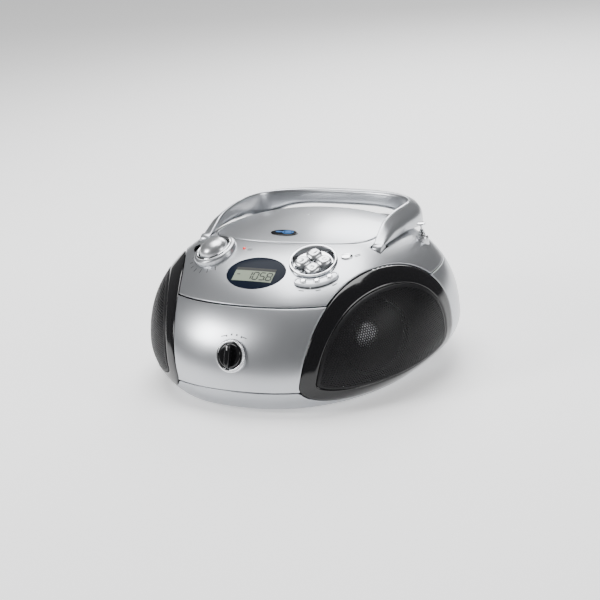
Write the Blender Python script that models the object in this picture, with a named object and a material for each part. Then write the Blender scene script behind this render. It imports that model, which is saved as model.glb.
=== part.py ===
"""Portable CD radio: case shells, speakers, CD drive, controls, carry handle and antenna.

All lengths are in millimetres until a mesh is made; MM turns them into metres.
The set stands on its feet at z = 0, faces -Y and is symmetric about x = 0.
"""
import math

import bmesh
import bpy
import numpy as np
from mathutils import Matrix, Vector

for old in list(bpy.data.objects):
    bpy.data.objects.remove(old, do_unlink=True)

MM = 0.001
GAP = 0.3
WALL = 2.5

# The case is a pebble: a rounded plan that shrinks towards the crown and tucks in below.
HALF_WIDTH = 140.0
FRONT_DEPTH = 146.5
REAR_DEPTH = 105.0
PLAN_MIDDLE = 15.0
PLAN_POWER = 2.3
FLOOR = 4.0
CROWN = 129.0
FRONT_WIDEST, SIDE_WIDEST = 22.0, 40.0
FRONT_POWER, SIDE_POWER, REAR_POWER = 2.0, 2.5, 3.2
FRONT_TUCK, SIDE_TUCK = 57.0, 62.0
LOWER_SEAM, UPPER_SEAM = 22.0, 88.0
ROUND_STEPS, RISE_STEPS = 48, 11

SILVER = ((0.62, 0.64, 0.67), 0.35, 0.75)
DARK_SILVER = ((0.42, 0.43, 0.45), 0.4, 0.8)
CHROME = ((0.8, 0.81, 0.83), 0.1, 1.0)
GLOSS_BLACK = ((0.015, 0.016, 0.02), 0.12, 0.0)
MATTE_BLACK = ((0.03, 0.03, 0.032), 0.5, 0.0)
BOARD_GREEN = ((0.03, 0.2, 0.09), 0.5, 0.0)
STEEL = ((0.55, 0.55, 0.56), 0.3, 1.0)
RUBBER = ((0.03, 0.03, 0.03), 0.8, 0.0)


def material(name, look):
    """A plain Principled material from (colour, roughness, metallic)."""
    colour, roughness, metallic = look
    made = bpy.data.materials.new(name)
    made.use_nodes = True
    shader = made.node_tree.nodes["Principled BSDF"]
    shader.inputs["Base Color"].default_value = (*colour, 1)
    shader.inputs["Roughness"].default_value = roughness
    shader.inputs["Metallic"].default_value = metallic
    made.diffuse_color = (*colour, 1)
    return made


def from_bmesh(name, mesh_data, place=None):
    """Turn a bmesh in millimetres into a scene object in metres."""
    if place is not None:
        bmesh.ops.transform(mesh_data, matrix=place, verts=mesh_data.verts)
    bmesh.ops.recalc_face_normals(mesh_data, faces=mesh_data.faces)
    bmesh.ops.scale(mesh_data, vec=(MM, MM, MM), verts=mesh_data.verts)
    mesh = bpy.data.meshes.new(name)
    mesh_data.to_mesh(mesh)
    mesh_data.free()
    made = bpy.data.objects.new(name, mesh)
    bpy.context.scene.collection.objects.link(made)
    return made


def finish(made, name, look, smooth=True, turn_axis_at=None):
    """Name a solid, give it its material and, if it moves, put its origin on its axis."""
    made.name = name
    made.data.name = name
    made.data.materials.clear()
    made.data.materials.append(material(name + "_finish", look))
    if smooth:
        made.data.shade_smooth()
        made.data.set_sharp_from_angle(angle=math.radians(40))
    if turn_axis_at is not None:
        pivot = Vector(turn_axis_at) * MM
        made.data.transform(Matrix.Translation(-pivot))
        made.location = pivot
    return made


def boolean(target, cutter, operation):
    """Apply a boolean and remove the cutter; the manifold solver steps in where the exact one finds nothing."""
    cutter.hide_render = True
    cutter.display_type = "WIRE"
    modifier = target.modifiers.new("shape", "BOOLEAN")
    modifier.operation = operation
    modifier.object = cutter
    for solver in ("EXACT", "MANIFOLD"):
        modifier.solver = solver
        graph = bpy.context.evaluated_depsgraph_get()
        shaped = bpy.data.meshes.new_from_object(target.evaluated_get(graph))
        if shaped.polygons:
            break
    target.modifiers.clear()
    target.data = shaped
    bpy.data.objects.remove(cutter, do_unlink=True)
    return target


def minus(target, *cutters):
    for cutter in cutters:
        boolean(target, cutter, "DIFFERENCE")
    return target


def common(target, *cutters):
    for cutter in cutters:
        boolean(target, cutter, "INTERSECT")
    return target


def plus(target, *others):
    for other in others:
        boolean(target, other, "UNION")
    return target


def box(low, high, round_edge=0.0):
    """A box between two corners, its edges rounded if asked."""
    low, high = Vector(low), Vector(high)
    shape = bmesh.new()
    bmesh.ops.create_cube(shape, size=1.0)
    size = high - low
    bmesh.ops.scale(shape, vec=size, verts=shape.verts)
    bmesh.ops.translate(shape, vec=(low + high) / 2, verts=shape.verts)
    if round_edge:
        bmesh.ops.bevel(shape, geom=shape.edges[:], offset=round_edge, segments=2, profile=0.5, affect="EDGES")
    return from_bmesh("box", shape)


def turned(profile, place=None, steps=24):
    """Spin a closed (radius, height) profile; it may start and end on the axis."""
    shape = bmesh.new()
    points = [shape.verts.new((radius, 0, height)) for radius, height in profile]
    edges = [shape.edges.new(pair) for pair in zip(points, points[1:])]
    if profile[0][0] > 0:
        edges.append(shape.edges.new((points[-1], points[0])))
    bmesh.ops.spin(shape, geom=points + edges, cent=(0, 0, 0), axis=(0, 0, 1), steps=steps,
                   angle=2 * math.pi, use_merge=False)
    bmesh.ops.remove_doubles(shape, verts=shape.verts, dist=0.001)
    return from_bmesh("turned", shape, place)


def rod(radius, low, high, place=None, steps=24):
    """A plain cylinder between two heights."""
    return turned([(0, low), (radius, low), (radius, high), (0, high)], place, steps)


def prism(outline, low, high, place=None):
    """Extrude a closed flat outline between two heights."""
    shape = bmesh.new()
    ring = [shape.verts.new((x, y, low)) for x, y in outline]
    face = shape.faces.new(ring)
    lifted = bmesh.ops.extrude_face_region(shape, geom=[face])
    top = [item for item in lifted["geom"] if isinstance(item, bmesh.types.BMVert)]
    bmesh.ops.translate(shape, vec=(0, 0, high - low), verts=top)
    return from_bmesh("prism", shape, place)


def signed_power(value, power):
    return math.copysign(abs(value) ** power, value)


def oval(half_x, half_y, power=2.0, steps=32, lower_half_y=None, lower_power=None, middle=(0.0, 0.0)):
    """A superellipse outline; its lower half may have its own depth and squareness."""
    outline = []
    for step in range(steps):
        angle = 2 * math.pi * (step + 0.5) / steps
        below = math.sin(angle) < 0
        reach = lower_half_y if below and lower_half_y else half_y
        square = lower_power if below and lower_power else power
        x = half_x * signed_power(math.cos(angle), 2 / square)
        y = reach * signed_power(math.sin(angle), 2 / square)
        outline.append((middle[0] + x, middle[1] + y))
    return outline


# ---- the pebble surface ------------------------------------------------------------------

def reach_at(height, half, widest, power, tuck, inset):
    """How far the case reaches from its plan centre at a height."""
    top = CROWN - inset
    if height > widest:
        rise = min((height - widest) / (top - widest), 1.0)
        return (half - inset) * (1 - rise ** power) ** (1 / power)
    return (half - inset) * math.sqrt(1 - ((widest - height) / tuck) ** 2)


def reaches(height, inset=0.0):
    """Half width, front depth and rear depth of the case at a height."""
    return (reach_at(height, HALF_WIDTH, SIDE_WIDEST, SIDE_POWER, SIDE_TUCK, inset),
            reach_at(height, FRONT_DEPTH, FRONT_WIDEST, FRONT_POWER, FRONT_TUCK, inset),
            reach_at(height, REAR_DEPTH, SIDE_WIDEST, REAR_POWER, SIDE_TUCK, inset))


def outside(point):
    """Positive outside the case, negative inside."""
    width, front, rear = reaches(min(point[2], CROWN - 0.01))
    depth = rear if point[1] > PLAN_MIDDLE else front
    across = abs(point[0] / width) ** PLAN_POWER
    along = abs((point[1] - PLAN_MIDDLE) / depth) ** PLAN_POWER
    return across + along - 1


def case_place(start, direction):
    """The frame on the case's surface along a ray from inside: Z out of the case, Y up the slope."""
    start, direction = Vector(start), Vector(direction).normalized()
    near, far = 0.0, 200.0
    for _ in range(40):
        middle = (near + far) / 2
        spot = start + direction * middle
        if spot.z >= CROWN or outside(spot) > 0:
            far = middle
        else:
            near = middle
    spot = start + direction * near
    step = 0.5
    slope = [outside(spot + Vector(side) * step) - outside(spot - Vector(side) * step)
             for side in ((1, 0, 0), (0, 1, 0), (0, 0, 1))]
    out = Vector(slope).normalized()
    across = Vector((0, -1, 0)).cross(out) if abs(out.z) > 0.999 else Vector((0, 0, 1)).cross(out)
    across.normalize()
    up = out.cross(across)
    turn = Matrix((across, up, out)).transposed().to_4x4()
    return Matrix.Translation(spot) @ turn


def pebble(inset=0.0):
    """The closed case shape, shrunk by an inset."""
    low, top = FLOOR + inset, CROWN - inset
    heights = [low, low + 3.0, (low + FRONT_WIDEST) / 2 + 2, FRONT_WIDEST, 31.0, SIDE_WIDEST]
    for step in range(1, RISE_STEPS):
        rise = math.sin(math.pi / 2 * step / RISE_STEPS) ** (2 / SIDE_POWER)
        heights.append(SIDE_WIDEST + (top - SIDE_WIDEST) * rise)
    shape = bmesh.new()
    rings = []
    for height in heights:
        lip = 3.0 if height == low else 0.0
        width, front, rear = (value - lip for value in reaches(height, inset))
        ring = []
        for step in range(ROUND_STEPS):
            angle = 2 * math.pi * step / ROUND_STEPS
            depth = rear if math.sin(angle) > 0 else front
            x = width * signed_power(math.cos(angle), 2 / PLAN_POWER)
            y = PLAN_MIDDLE + depth * signed_power(math.sin(angle), 2 / PLAN_POWER)
            ring.append(shape.verts.new((x, y, height)))
        rings.append(ring)
    for lower, upper in zip(rings, rings[1:]):
        for step in range(ROUND_STEPS):
            after = (step + 1) % ROUND_STEPS
            shape.faces.new((lower[step], lower[after], upper[after], upper[step]))
    foot = shape.verts.new((0, PLAN_MIDDLE, low))
    crown = shape.verts.new((0, PLAN_MIDDLE, top))
    for step in range(ROUND_STEPS):
        after = (step + 1) % ROUND_STEPS
        shape.faces.new((foot, rings[0][after], rings[0][step]))
        shape.faces.new((crown, rings[-1][step], rings[-1][after]))
    return from_bmesh("pebble", shape)


def skin(cutter, outer_inset, inner_inset):
    """The part of the case wall between two insets that lies inside a cutter."""
    return minus(common(pebble(outer_inset), cutter), pebble(inner_inset))


BIG = 400.0


def slab(low, high):
    return box((-BIG, -BIG, low), (BIG, BIG, high))


# ---- where things sit ----------------------------------------------------------------------

# Speaker openings face 60 degrees off the front; "along" runs back from the front panel's edge.
SPEAKER_ANGLE = math.radians(60)
SPEAKER_EDGE = Vector((58, -118, 0))
OPENING_MIDDLE = Vector((79.5, 30))
OPENING_HALF = (81.0, 76.0)
OPENING_POWERS = (2.1, 2.5)
DRIVER_MIDDLE = Vector((82, 47))
OPENING_LOWER = 24.0
OPENING_LEAN = 0.21
TRIM_WIDTH = 12.0
DRIVER_RADIUS = 38.0


def speaker_place(side):
    """Frame of a speaker opening: X along the case, Y up, Z outwards; side is -1 left, 1 right."""
    out = Vector((side * math.sin(SPEAKER_ANGLE), -math.cos(SPEAKER_ANGLE), 0))
    along = Vector((side * math.cos(SPEAKER_ANGLE), math.sin(SPEAKER_ANGLE), 0))
    edge = Vector((side * SPEAKER_EDGE.x, SPEAKER_EDGE.y, 0))
    turn = Matrix((along, Vector((0, 0, 1)), out)).transposed().to_4x4()
    return Matrix.Translation(edge) @ turn


def opening_outline(shrink):
    """The leaning oval of a speaker opening, squarer below its widest line and shrunk by a margin."""
    upper, lower = OPENING_POWERS
    outline = oval(OPENING_HALF[0] - shrink, OPENING_HALF[1] - shrink, upper, 44, OPENING_LOWER - shrink, lower)
    middle = OPENING_MIDDLE
    return [(middle.x + x + OPENING_LEAN * y, middle.y + y) for x, y in outline]


CD_MIDDLE = (0.0, 31.5)
CD_POCKET_RADIUS = 60.8
LID_FRONT, LID_SHOULDER, LID_REAR = -32.0, -13.0, 95.5
LID_HALF_WIDTH = 79.0
HINGE = (0.0, 96.9, 111.8)
LID_OPENING_REAR = 99.2


def lid_outline(margin, rear):
    """Plan outline of the lid: a bowed front edge between square corners, and rounder rear corners."""
    middle = (LID_SHOULDER + LID_REAR) / 2
    reach = middle - LID_SHOULDER + margin
    half = LID_HALF_WIDTH + margin
    outline = []
    for x, y in oval(half, rear - middle, 3.2, 64, reach, 7.0):
        bow = (LID_SHOULDER - LID_FRONT) * (1 - (x / half) ** 2) * max(-y / reach, 0)
        outline.append((x, middle + y - bow))
    return outline


def flat_place(x, y, z):
    return Matrix.Translation((x, y, z))


VOLUME_PLACE = case_place((-55, -45.5, 40), (0, 0, 1))
CLUSTER_PLACE = case_place((46.5, -51, 40), (0, 0, 1))
DISPLAY_PLACE = case_place((0, -71, 40), (0, 0, 1))
LED_PLACE = case_place((-26, -43, 40), (0, 0, 1))
USB_PLACE = case_place((-82, -32, 40), (0, 0, 1))
PROGRAM_PLACE = case_place((71, -35, 40), (0, 0, 1))
MODE_PLACE = case_place((0, -40, 52), (0, -1, 0))
COLLAR_RADIUS = 20.0
CLUSTER_RADIUS = 21.0
DISPLAY_HALF = (28.5, 18.5)
STRIP_RADIUS, STRIP_HALF = 27.0, 3.7
STRIP_ANGLES = (math.radians(-114), math.radians(-44))
BEZEL_RADIUS = 14.5
HANDLE_PIVOT = (0.0, -6.0, 112.6)
HANDLE_KNUCKLE, HANDLE_POCKET = 6.0, 7.8
LEG_MIDDLE, LEG_HALF = 87.5, 4.8
ANTENNA_AT = (103.5, 50.0)


def strip_outline(margin):
    """A curved bar below the button cluster, with round ends."""
    start, end = STRIP_ANGLES
    half = STRIP_HALF + margin
    outline = []
    for radius, angles in ((STRIP_RADIUS + half, (start, end)), (STRIP_RADIUS - half, (end, start))):
        for step in range(9):
            angle = angles[0] + (angles[1] - angles[0]) * step / 8
            outline.append((radius * math.cos(angle), radius * math.sin(angle)))
        cap = angles[1]
        turn = 1 if radius > STRIP_RADIUS else -1
        centre = (STRIP_RADIUS * math.cos(cap), STRIP_RADIUS * math.sin(cap))
        for step in (1, 2, 3):
            swing = cap + (0 if turn > 0 else math.pi) + math.pi * step / 4
            outline.append((centre[0] + half * math.cos(swing), centre[1] + half * math.sin(swing)))
    return outline


def x_rod(radius, start, end, y, z, steps=20):
    """A cylinder along X."""
    turn = Matrix.Translation((0, y, z)) @ Matrix.Rotation(math.pi / 2, 4, "Y")
    return rod(radius, start, end, turn, steps)


# ---- case shells -----------------------------------------------------------------------------

def speaker_cutters(shrink):
    return [prism(opening_outline(shrink), -60, 70, speaker_place(side)) for side in (-1, 1)]


def make_shells():
    top = skin(slab(UPPER_SEAM + GAP / 2, BIG), 0, WALL)
    minus(top, *speaker_cutters(0))
    minus(top, prism(lid_outline(0.5, LID_OPENING_REAR), 60, 160))
    minus(top, rod(COLLAR_RADIUS + GAP, -12, 12, VOLUME_PLACE, 32))
    minus(top, rod(CLUSTER_RADIUS + GAP, -12, 12, CLUSTER_PLACE, 32))
    minus(top, prism(oval(DISPLAY_HALF[0] + GAP, DISPLAY_HALF[1] + GAP), -12, 12, DISPLAY_PLACE))
    minus(top, prism(strip_outline(GAP), -10, 8, CLUSTER_PLACE))
    minus(top, rod(1.8, -8, 8, LED_PLACE, 12))
    minus(top, prism(oval(8.1, 4.6, 3), -9, 9, USB_PLACE))
    minus(top, prism(oval(5.6, 3.7), -8, 8, PROGRAM_PLACE))
    for side in (-1, 1):
        inner, outer = LEG_MIDDLE - LEG_HALF - 0.5, LEG_MIDDLE + LEG_HALF + 0.5
        minus(top, x_rod(HANDLE_POCKET, *sorted((side * inner, side * outer)), *HANDLE_PIVOT[1:]))
        minus(top, x_rod(1.9, *sorted((side * (inner - 3), side * (outer + 2))), *HANDLE_PIVOT[1:], 16))
    minus(top, rod(6.2, 60, 140, flat_place(*ANTENNA_AT, 0), 20))
    finish(top, "top_shell", SILVER)

    front = skin(box((-BIG, -BIG, LOWER_SEAM + GAP / 2), (BIG, -40, UPPER_SEAM - GAP / 2)), 0, WALL)
    minus(front, *speaker_cutters(0))
    minus(front, rod(BEZEL_RADIUS + GAP, -14, 10, MODE_PLACE, 32))
    finish(front, "front_panel", SILVER)

    rear = skin(box((-BIG, -40, LOWER_SEAM + GAP / 2), (BIG, BIG, UPPER_SEAM - GAP / 2)), 0, WALL)
    minus(rear, *speaker_cutters(0))
    minus(rear, box((-68.6, 80, 26.4), (-51.4, 140, 39.6)))
    finish(rear, "rear_panel", SILVER)

    base = skin(slab(-BIG, LOWER_SEAM - GAP / 2), 0, WALL)
    minus(base, *speaker_cutters(0))
    minus(base, box((-41.3, 13.7, 0), (61.3, 84.3, 12)))
    finish(base, "bottom_shell", DARK_SILVER)


def make_speakers():
    middle = DRIVER_MIDDLE
    for side, name in ((-1, "left"), (1, "right")):
        place = speaker_place(side)
        driver = place @ Matrix.Translation((middle.x, middle.y, 0))
        trim = skin(prism(opening_outline(GAP), -60, 70, place), 0, 3.0)
        minus(trim, prism(opening_outline(TRIM_WIDTH), -60, 70, place))
        finish(trim, name + "_trim_ring", GLOSS_BLACK)
        grille = skin(prism(opening_outline(TRIM_WIDTH + GAP), -60, 70, place), -0.6, 0.6)
        finish(grille, name + "_grille", MATTE_BLACK)
        baffle = common(prism(opening_outline(7), -3, 0, place), pebble(3.8))
        minus(baffle, rod(33.5, -10, 10, driver, 32))
        finish(baffle, name + "_baffle", MATTE_BLACK)
        basket = turned([(0, -23), (15.5, -23), (32.9, -6), (32.9, -3.4), (DRIVER_RADIUS, -3.4),
                         (DRIVER_RADIUS, -5.5), (34.5, -6.5), (18, -25), (22, -25), (22, -37), (0, -37)],
                        driver, 28)
        finish(basket, name + "_speaker_frame", STEEL)
        cone = turned([(0, -12.5), (5, -13.2), (9.5, -15.5), (29.5, -5.6), (31.5, -4.4), (32.3, -4.6),
                       (30, -7), (9.5, -18.5), (0, -18.5)], driver, 28)
        finish(cone, name + "_cone", MATTE_BLACK, turn_axis_at=driver.translation)


# ---- lid and CD drive --------------------------------------------------------------------------

def make_lid():
    lid = skin(prism(lid_outline(0, LID_REAR), 60, 160), 0, 2.2)
    finish(lid, "cd_lid", SILVER, turn_axis_at=HINGE)
    badge_place = case_place((0, -18, 60), (0, 0, 1))
    badge = skin(prism(oval(13.5, 5.5), -10, 10, badge_place), -0.9, -GAP)
    finish(badge, "lid_badge", GLOSS_BLACK)
    pin = x_rod(1.2, -50, 50, *HINGE[1:], 12)
    finish(pin, "lid_hinge_pin", STEEL)


def make_cd_drive():
    floor_low, floor_high = 101.3, 104.0
    middle = (CD_MIDDLE[0], CD_MIDDLE[1])
    well = common(prism(lid_outline(-2.6, 94.0), floor_low, 150), pebble(2.8))
    minus(well, rod(CD_POCKET_RADIUS, floor_high, 160, flat_place(*middle, 0), 48))
    minus(well, rod(2.4, 90, 130, flat_place(*middle, 0), 16))
    minus(well, box((-8, -26.5, 90), (8, 18, 130)))
    finish(well, "cd_well", MATTE_BLACK)
    hub = turned([(0, 110.6), (4.5, 110.4), (7.2, 108), (7.2, 106.8), (14, 106.5), (14, 104.6),
                  (1.8, 104.6), (1.8, 100.9), (0, 100.9)], flat_place(*middle, 0))
    finish(hub, "cd_hub", MATTE_BLACK, turn_axis_at=(*middle, 106))
    motor = turned([(0, 86), (12, 86), (12, 99), (10.5, 100.5), (0, 100.5)], flat_place(*middle, 0))
    finish(motor, "spindle_motor", STEEL)
    sled = plus(box((-6.5, 8, 94), (15.5, 16, 100.8)), box((-5, 8, 100), (5, 16, 103.6)))
    along = Matrix.Translation((12, 0, 97)) @ Matrix.Rotation(-math.pi / 2, 4, "X")
    minus(sled, rod(1.8, -20, 40, along, 16))
    finish(sled, "laser_sled", MATTE_BLACK, smooth=False, turn_axis_at=(0, 12, 100))
    finish(rod(1.5, -30, 20, along, 16), "sled_rod", STEEL)
    teeth = 16
    outline = []
    for step in range(teeth * 4):
        radius = 6.9 if step % 4 < 2 else 5.9
        angle = 2 * math.pi * step / (teeth * 4)
        outline.append((radius * math.cos(angle), radius * math.sin(angle)))
    gear = prism(outline, 95.5, 98.5, flat_place(-13.8, -4, 0))
    finish(gear, "sled_gear", ((0.75, 0.74, 0.7), 0.5, 0.0), smooth=False, turn_axis_at=(-13.8, -4, 97))


# ---- controls ------------------------------------------------------------------------------------

def make_volume():
    collar = turned([(14.3, -5), (COLLAR_RADIUS, -5), (COLLAR_RADIUS, 3), (18.8, 4.6), (15.2, 4.6), (14.3, 3.6)],
                    VOLUME_PLACE, 36)
    finish(collar, "volume_collar", CHROME)
    knob = turned([(0, 12), (6, 11.5), (10.5, 9.9), (13.2, 7), (13.8, 3.5), (13.8, 0.5), (3, 0.5), (3, -7), (0, -7)],
                  VOLUME_PLACE, 32)
    finish(knob, "volume_knob", SILVER, turn_axis_at=VOLUME_PLACE.translation)
    finish(rod(8.5, -17, -7.4, VOLUME_PLACE, 20), "volume_pot", STEEL)


def make_display():
    window = skin(prism(oval(*DISPLAY_HALF), -12, 12, DISPLAY_PLACE), 0, 2.0)
    finish(window, "display_window", GLOSS_BLACK)
    panel = prism(oval(21, 12.5, 9, 24), -8.5, -5.5, DISPLAY_PLACE)
    finish(panel, "lcd_panel", ((0.35, 0.4, 0.33), 0.4, 0.0), smooth=False)


def make_cluster():
    well = turned([(0, -3), (17.5, -3), (19, 2.2), (20.4, 2.2), (CLUSTER_RADIUS, 0.8), (CLUSTER_RADIUS, -5.5),
                   (0, -5.5)], CLUSTER_PLACE, 32)
    distance, half = 9.2, 6.2
    names = {"stop_button": -90, "back_button": 180, "play_button": 90, "skip_button": 0}
    for name, degrees in names.items():
        angle = math.radians(degrees)
        spot = CLUSTER_PLACE @ Matrix.Translation((distance * math.cos(angle), distance * math.sin(angle), 0))
        minus(well, rod(2.3, -10, 5, spot, 12))
        cap = prism(oval(half, half, 3, 20), -1.6, 2.4, spot @ Matrix.Rotation(math.radians(45), 4, "Z"))
        plus(cap, rod(1.9, -6.5, -1, spot, 12))
        finish(cap, name, SILVER, turn_axis_at=spot.translation)
    finish(well, "cd_button_well", CHROME)
    strip = prism(strip_outline(0), -3.6, 0.9, CLUSTER_PLACE)
    for name, degrees in (("repeat_key", -104), ("mode_key", -79), ("album_key", -54)):
        angle = math.radians(degrees)
        spot = CLUSTER_PLACE @ Matrix.Translation(
            (STRIP_RADIUS * math.cos(angle), STRIP_RADIUS * math.sin(angle), 0))
        minus(strip, rod(2.9, -8, 5, spot, 16))
        key = turned([(0, 2.4), (1.6, 2.3), (2.6, 1.7), (2.6, -5), (0, -5)], spot, 16)
        finish(key, name, SILVER, turn_axis_at=spot.translation)
    finish(strip, "key_strip", DARK_SILVER)
    finish(prism(oval(5.2, 3.3), -4, 1.6, PROGRAM_PLACE), "program_button", SILVER,
           turn_axis_at=PROGRAM_PLACE.translation)


def make_small_parts():
    lamp = turned([(0, 1.3), (1.0, 0.9), (1.5, 0), (1.5, -4), (0, -4)], LED_PLACE, 12)
    finish(lamp, "stereo_led", ((0.6, 0.02, 0.02), 0.2, 0.0))
    socket = prism(oval(7.8, 4.3, 3), -13, 0.6, USB_PLACE)
    minus(socket, prism(oval(6.3, 2.6, 8, 20), -11.5, 5, USB_PLACE))
    finish(socket, "usb_socket", GLOSS_BLACK, smooth=False)


def make_mode_knob():
    bezel = turned([(11.2, -5), (BEZEL_RADIUS, -5), (BEZEL_RADIUS, 2.4), (13.4, 3.4), (12, 3.4), (11.2, 2.6)],
                   MODE_PLACE, 32)
    finish(bezel, "mode_bezel", CHROME)
    knob = turned([(0, 4.6), (9.6, 4.6), (10.8, 3.6), (10.8, -1), (3, -1), (3, -10), (0, -10)], MODE_PLACE, 28)
    plus(knob, prism(oval(2.4, 10.2, 4, 16), 2, 9, MODE_PLACE))
    finish(knob, "mode_knob", MATTE_BLACK, turn_axis_at=MODE_PLACE.translation)
    finish(rod(9, -20, -10.4, MODE_PLACE, 20), "mode_switch", STEEL)


# ---- handle --------------------------------------------------------------------------------------

GRIP_AT = 109.0
CORNER_START = 52.0


def handle_station(turn):
    """Centre, across direction and section of the right half; turn runs 0 at the tip to 1 mid-grip."""
    straight = 0.4
    if turn < straight:
        share = turn / straight
        centre = Vector((LEG_MIDDLE, HANDLE_PIVOT[1] + (CORNER_START - HANDLE_PIVOT[1]) * share, 0))
        across = Vector((1, 0, 0))
    else:
        angle = math.pi / 2 * (turn - straight) / (1 - straight)
        power = 2 / 3.0
        depth = GRIP_AT - CORNER_START
        centre = Vector((LEG_MIDDLE * signed_power(math.cos(angle), power) if turn < 1 else 0,
                         CORNER_START + depth * math.sin(angle) ** power, 0))
        pull = 2 - power
        across = Vector((max(math.cos(angle), 0.0) ** pull / LEG_MIDDLE, math.sin(angle) ** pull / depth, 0))
        across.normalize()
    return centre, across


HANDLE_SECTIONS = (
    # turn, half width, underside and top at the inner edge, how far each has dropped at the outer edge
    (0.00, 4.4, 116.6, 118.8, 1.2, 1.6), (0.06, 5.2, 119.0, 125.0, 3.5, 4.5), (0.14, 6.0, 120.2, 132.0, 5.0, 7.5),
    (0.24, 6.4, 120.4, 135.5, 5.5, 10.5), (0.34, 6.5, 119.8, 137.0, 5.5, 12.0), (0.44, 6.6, 117.0, 136.8, 6.0, 12.5),
    (0.54, 6.8, 111.5, 136.0, 5.0, 12.5), (0.62, 7.2, 109.0, 135.4, 3.0, 11.0), (0.70, 7.8, 111.5, 135.0, 2.0, 8.5),
    (0.78, 8.3, 115.0, 134.6, 1.0, 6.5), (0.88, 8.6, 117.0, 134.4, 0.5, 5.0), (1.00, 8.8, 117.4, 134.4, 0.0, 4.5),
)
SECTION_STEPS = 12


def handle_ring(section, side):
    """Corners of one cross section: an oval that droops towards the handle's outer edge."""
    turn, half, low, high, low_drop, high_drop = section
    centre, across = handle_station(turn)
    ring = []
    for out, rise in oval(1, 1, 4.0, SECTION_STEPS):
        level = (rise + 1) / 2
        height = low + (high - low) * level - (low_drop + (high_drop - low_drop) * level) * (out + 1) / 2
        spot = centre + across * out * half
        ring.append((side * spot.x, spot.y, height))
    return ring


def make_handle():
    """Sweep the sections from the right tip round the grip to the left tip, then add the pivots."""
    loops = [handle_ring(section, 1) for section in HANDLE_SECTIONS]
    loops += [handle_ring(section, -1) for section in HANDLE_SECTIONS[-2::-1]]
    shape = bmesh.new()
    rings = [[shape.verts.new(spot) for spot in loop] for loop in loops]
    for first, second in zip(rings, rings[1:]):
        for step in range(SECTION_STEPS):
            after = (step + 1) % SECTION_STEPS
            shape.faces.new((first[step], first[after], second[after], second[step]))
    shape.faces.new(rings[0])
    shape.faces.new(rings[-1][::-1])
    handle = from_bmesh("handle", shape)
    for side in (-1, 1):
        ends = sorted((side * (LEG_MIDDLE - LEG_HALF), side * (LEG_MIDDLE + LEG_HALF)))
        plus(handle, x_rod(HANDLE_KNUCKLE, *ends, *HANDLE_PIVOT[1:], 20))
        minus(handle, x_rod(1.9, ends[0] - 5, ends[1] + 5, *HANDLE_PIVOT[1:], 12))
    finish(handle, "handle", SILVER, turn_axis_at=HANDLE_PIVOT)
    for side, name in ((-1, "left"), (1, "right")):
        ends = sorted((side * (LEG_MIDDLE - LEG_HALF - 2.5), side * (LEG_MIDDLE + LEG_HALF + 0.3)))
        finish(x_rod(1.5, *ends, *HANDLE_PIVOT[1:], 12), name + "_handle_pin", STEEL)


# ---- antenna -------------------------------------------------------------------------------------

ANTENNA_FOOT = 14.0
ANTENNA_TOP = 109.8
ANTENNA_TUBES = ((3.1, 2.6, ANTENNA_TOP + 2.0), (2.3, 1.9, ANTENNA_TOP + 4.0), (1.6, 1.25, ANTENNA_TOP + 5.8))


def make_antenna():
    place = flat_place(*ANTENNA_AT, 0)
    base = turned([(3.4, 12.5), (4.4, 12.5), (4.4, ANTENNA_TOP - 9.5), (5.8, ANTENNA_TOP - 8.5),
                   (5.8, ANTENNA_TOP - 2.5), (4.8, ANTENNA_TOP), (3.4, ANTENNA_TOP)], place, 20)
    finish(base, "antenna_base", SILVER)
    for number, (outer, inner, top) in enumerate(ANTENNA_TUBES, 1):
        tube = turned([(inner, ANTENNA_FOOT), (outer, ANTENNA_FOOT), (outer, top), (inner, top)], place, 16)
        finish(tube, f"antenna_section_{number}", CHROME, turn_axis_at=(*ANTENNA_AT, top))
    cap = ANTENNA_TOP + 10.1
    tip = turned([(0, ANTENNA_FOOT), (0.95, ANTENNA_FOOT), (0.95, cap - 0.4), (3.8, cap), (3.8, cap + 1.4),
                  (0, cap + 1.8)], place, 16)
    finish(tip, "antenna_section_4", CHROME, turn_axis_at=(*ANTENNA_AT, cap - 0.6))


# ---- power, board and feet -------------------------------------------------------------------------

def make_inside_and_feet():
    finish(box((-48, -78, 74), (48, -38, 75.6)), "main_board", BOARD_GREEN, smooth=False)
    finish(box((-92, 30, 12), (-50, 74, 50), 1.5), "mains_transformer", STEEL, smooth=False)
    inlet = box((-68.3, 92, 26.7), (-51.7, 112.5, 39.3), 1.0)
    minus(inlet, box((-66, 97, 29.4), (-54, 120, 36.6)))
    finish(inlet, "mains_inlet", MATTE_BLACK, smooth=False)
    bay = minus(box((-43, 12, 6.8), (63, 86, 36)), box((-41, 14, 0), (61, 84, 34)))
    finish(bay, "battery_bay", MATTE_BLACK, smooth=False)
    door = box((-41, 14, FLOOR), (61, 84, 6.4))
    finish(door, "battery_door", DARK_SILVER, smooth=False, turn_axis_at=(10, 14, FLOOR))
    for name, x, y in (("front_left_foot", -72, -72), ("front_right_foot", 72, -72),
                       ("rear_left_foot", -76, 62), ("rear_right_foot", 76, 62)):
        foot = turned([(0, 0), (7, 0), (8, 1), (8, FLOOR - GAP), (0, FLOOR - GAP)], flat_place(x, y, 0), 20)
        finish(foot, name, RUBBER)


make_shells()
make_speakers()
make_lid()
make_cd_drive()
make_volume()
make_display()
make_cluster()
make_small_parts()
make_mode_knob()
make_handle()
make_antenna()
make_inside_and_feet()

# The knob and the rear wall reach unequally far, so the set moves until its footprint is centred.
FOOTPRINT_SHIFT = 8.86
for solid in bpy.data.objects:
    solid.location.y += FOOTPRINT_SHIFT * MM
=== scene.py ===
"""A portable CD radio with USB, put together piece by piece.

Lengths are in millimetres until a mesh is made. The set faces -Y and stands at z = 0.
"""
import math

import bmesh
import bpy
import numpy as np
from mathutils import Matrix, Vector


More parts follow.
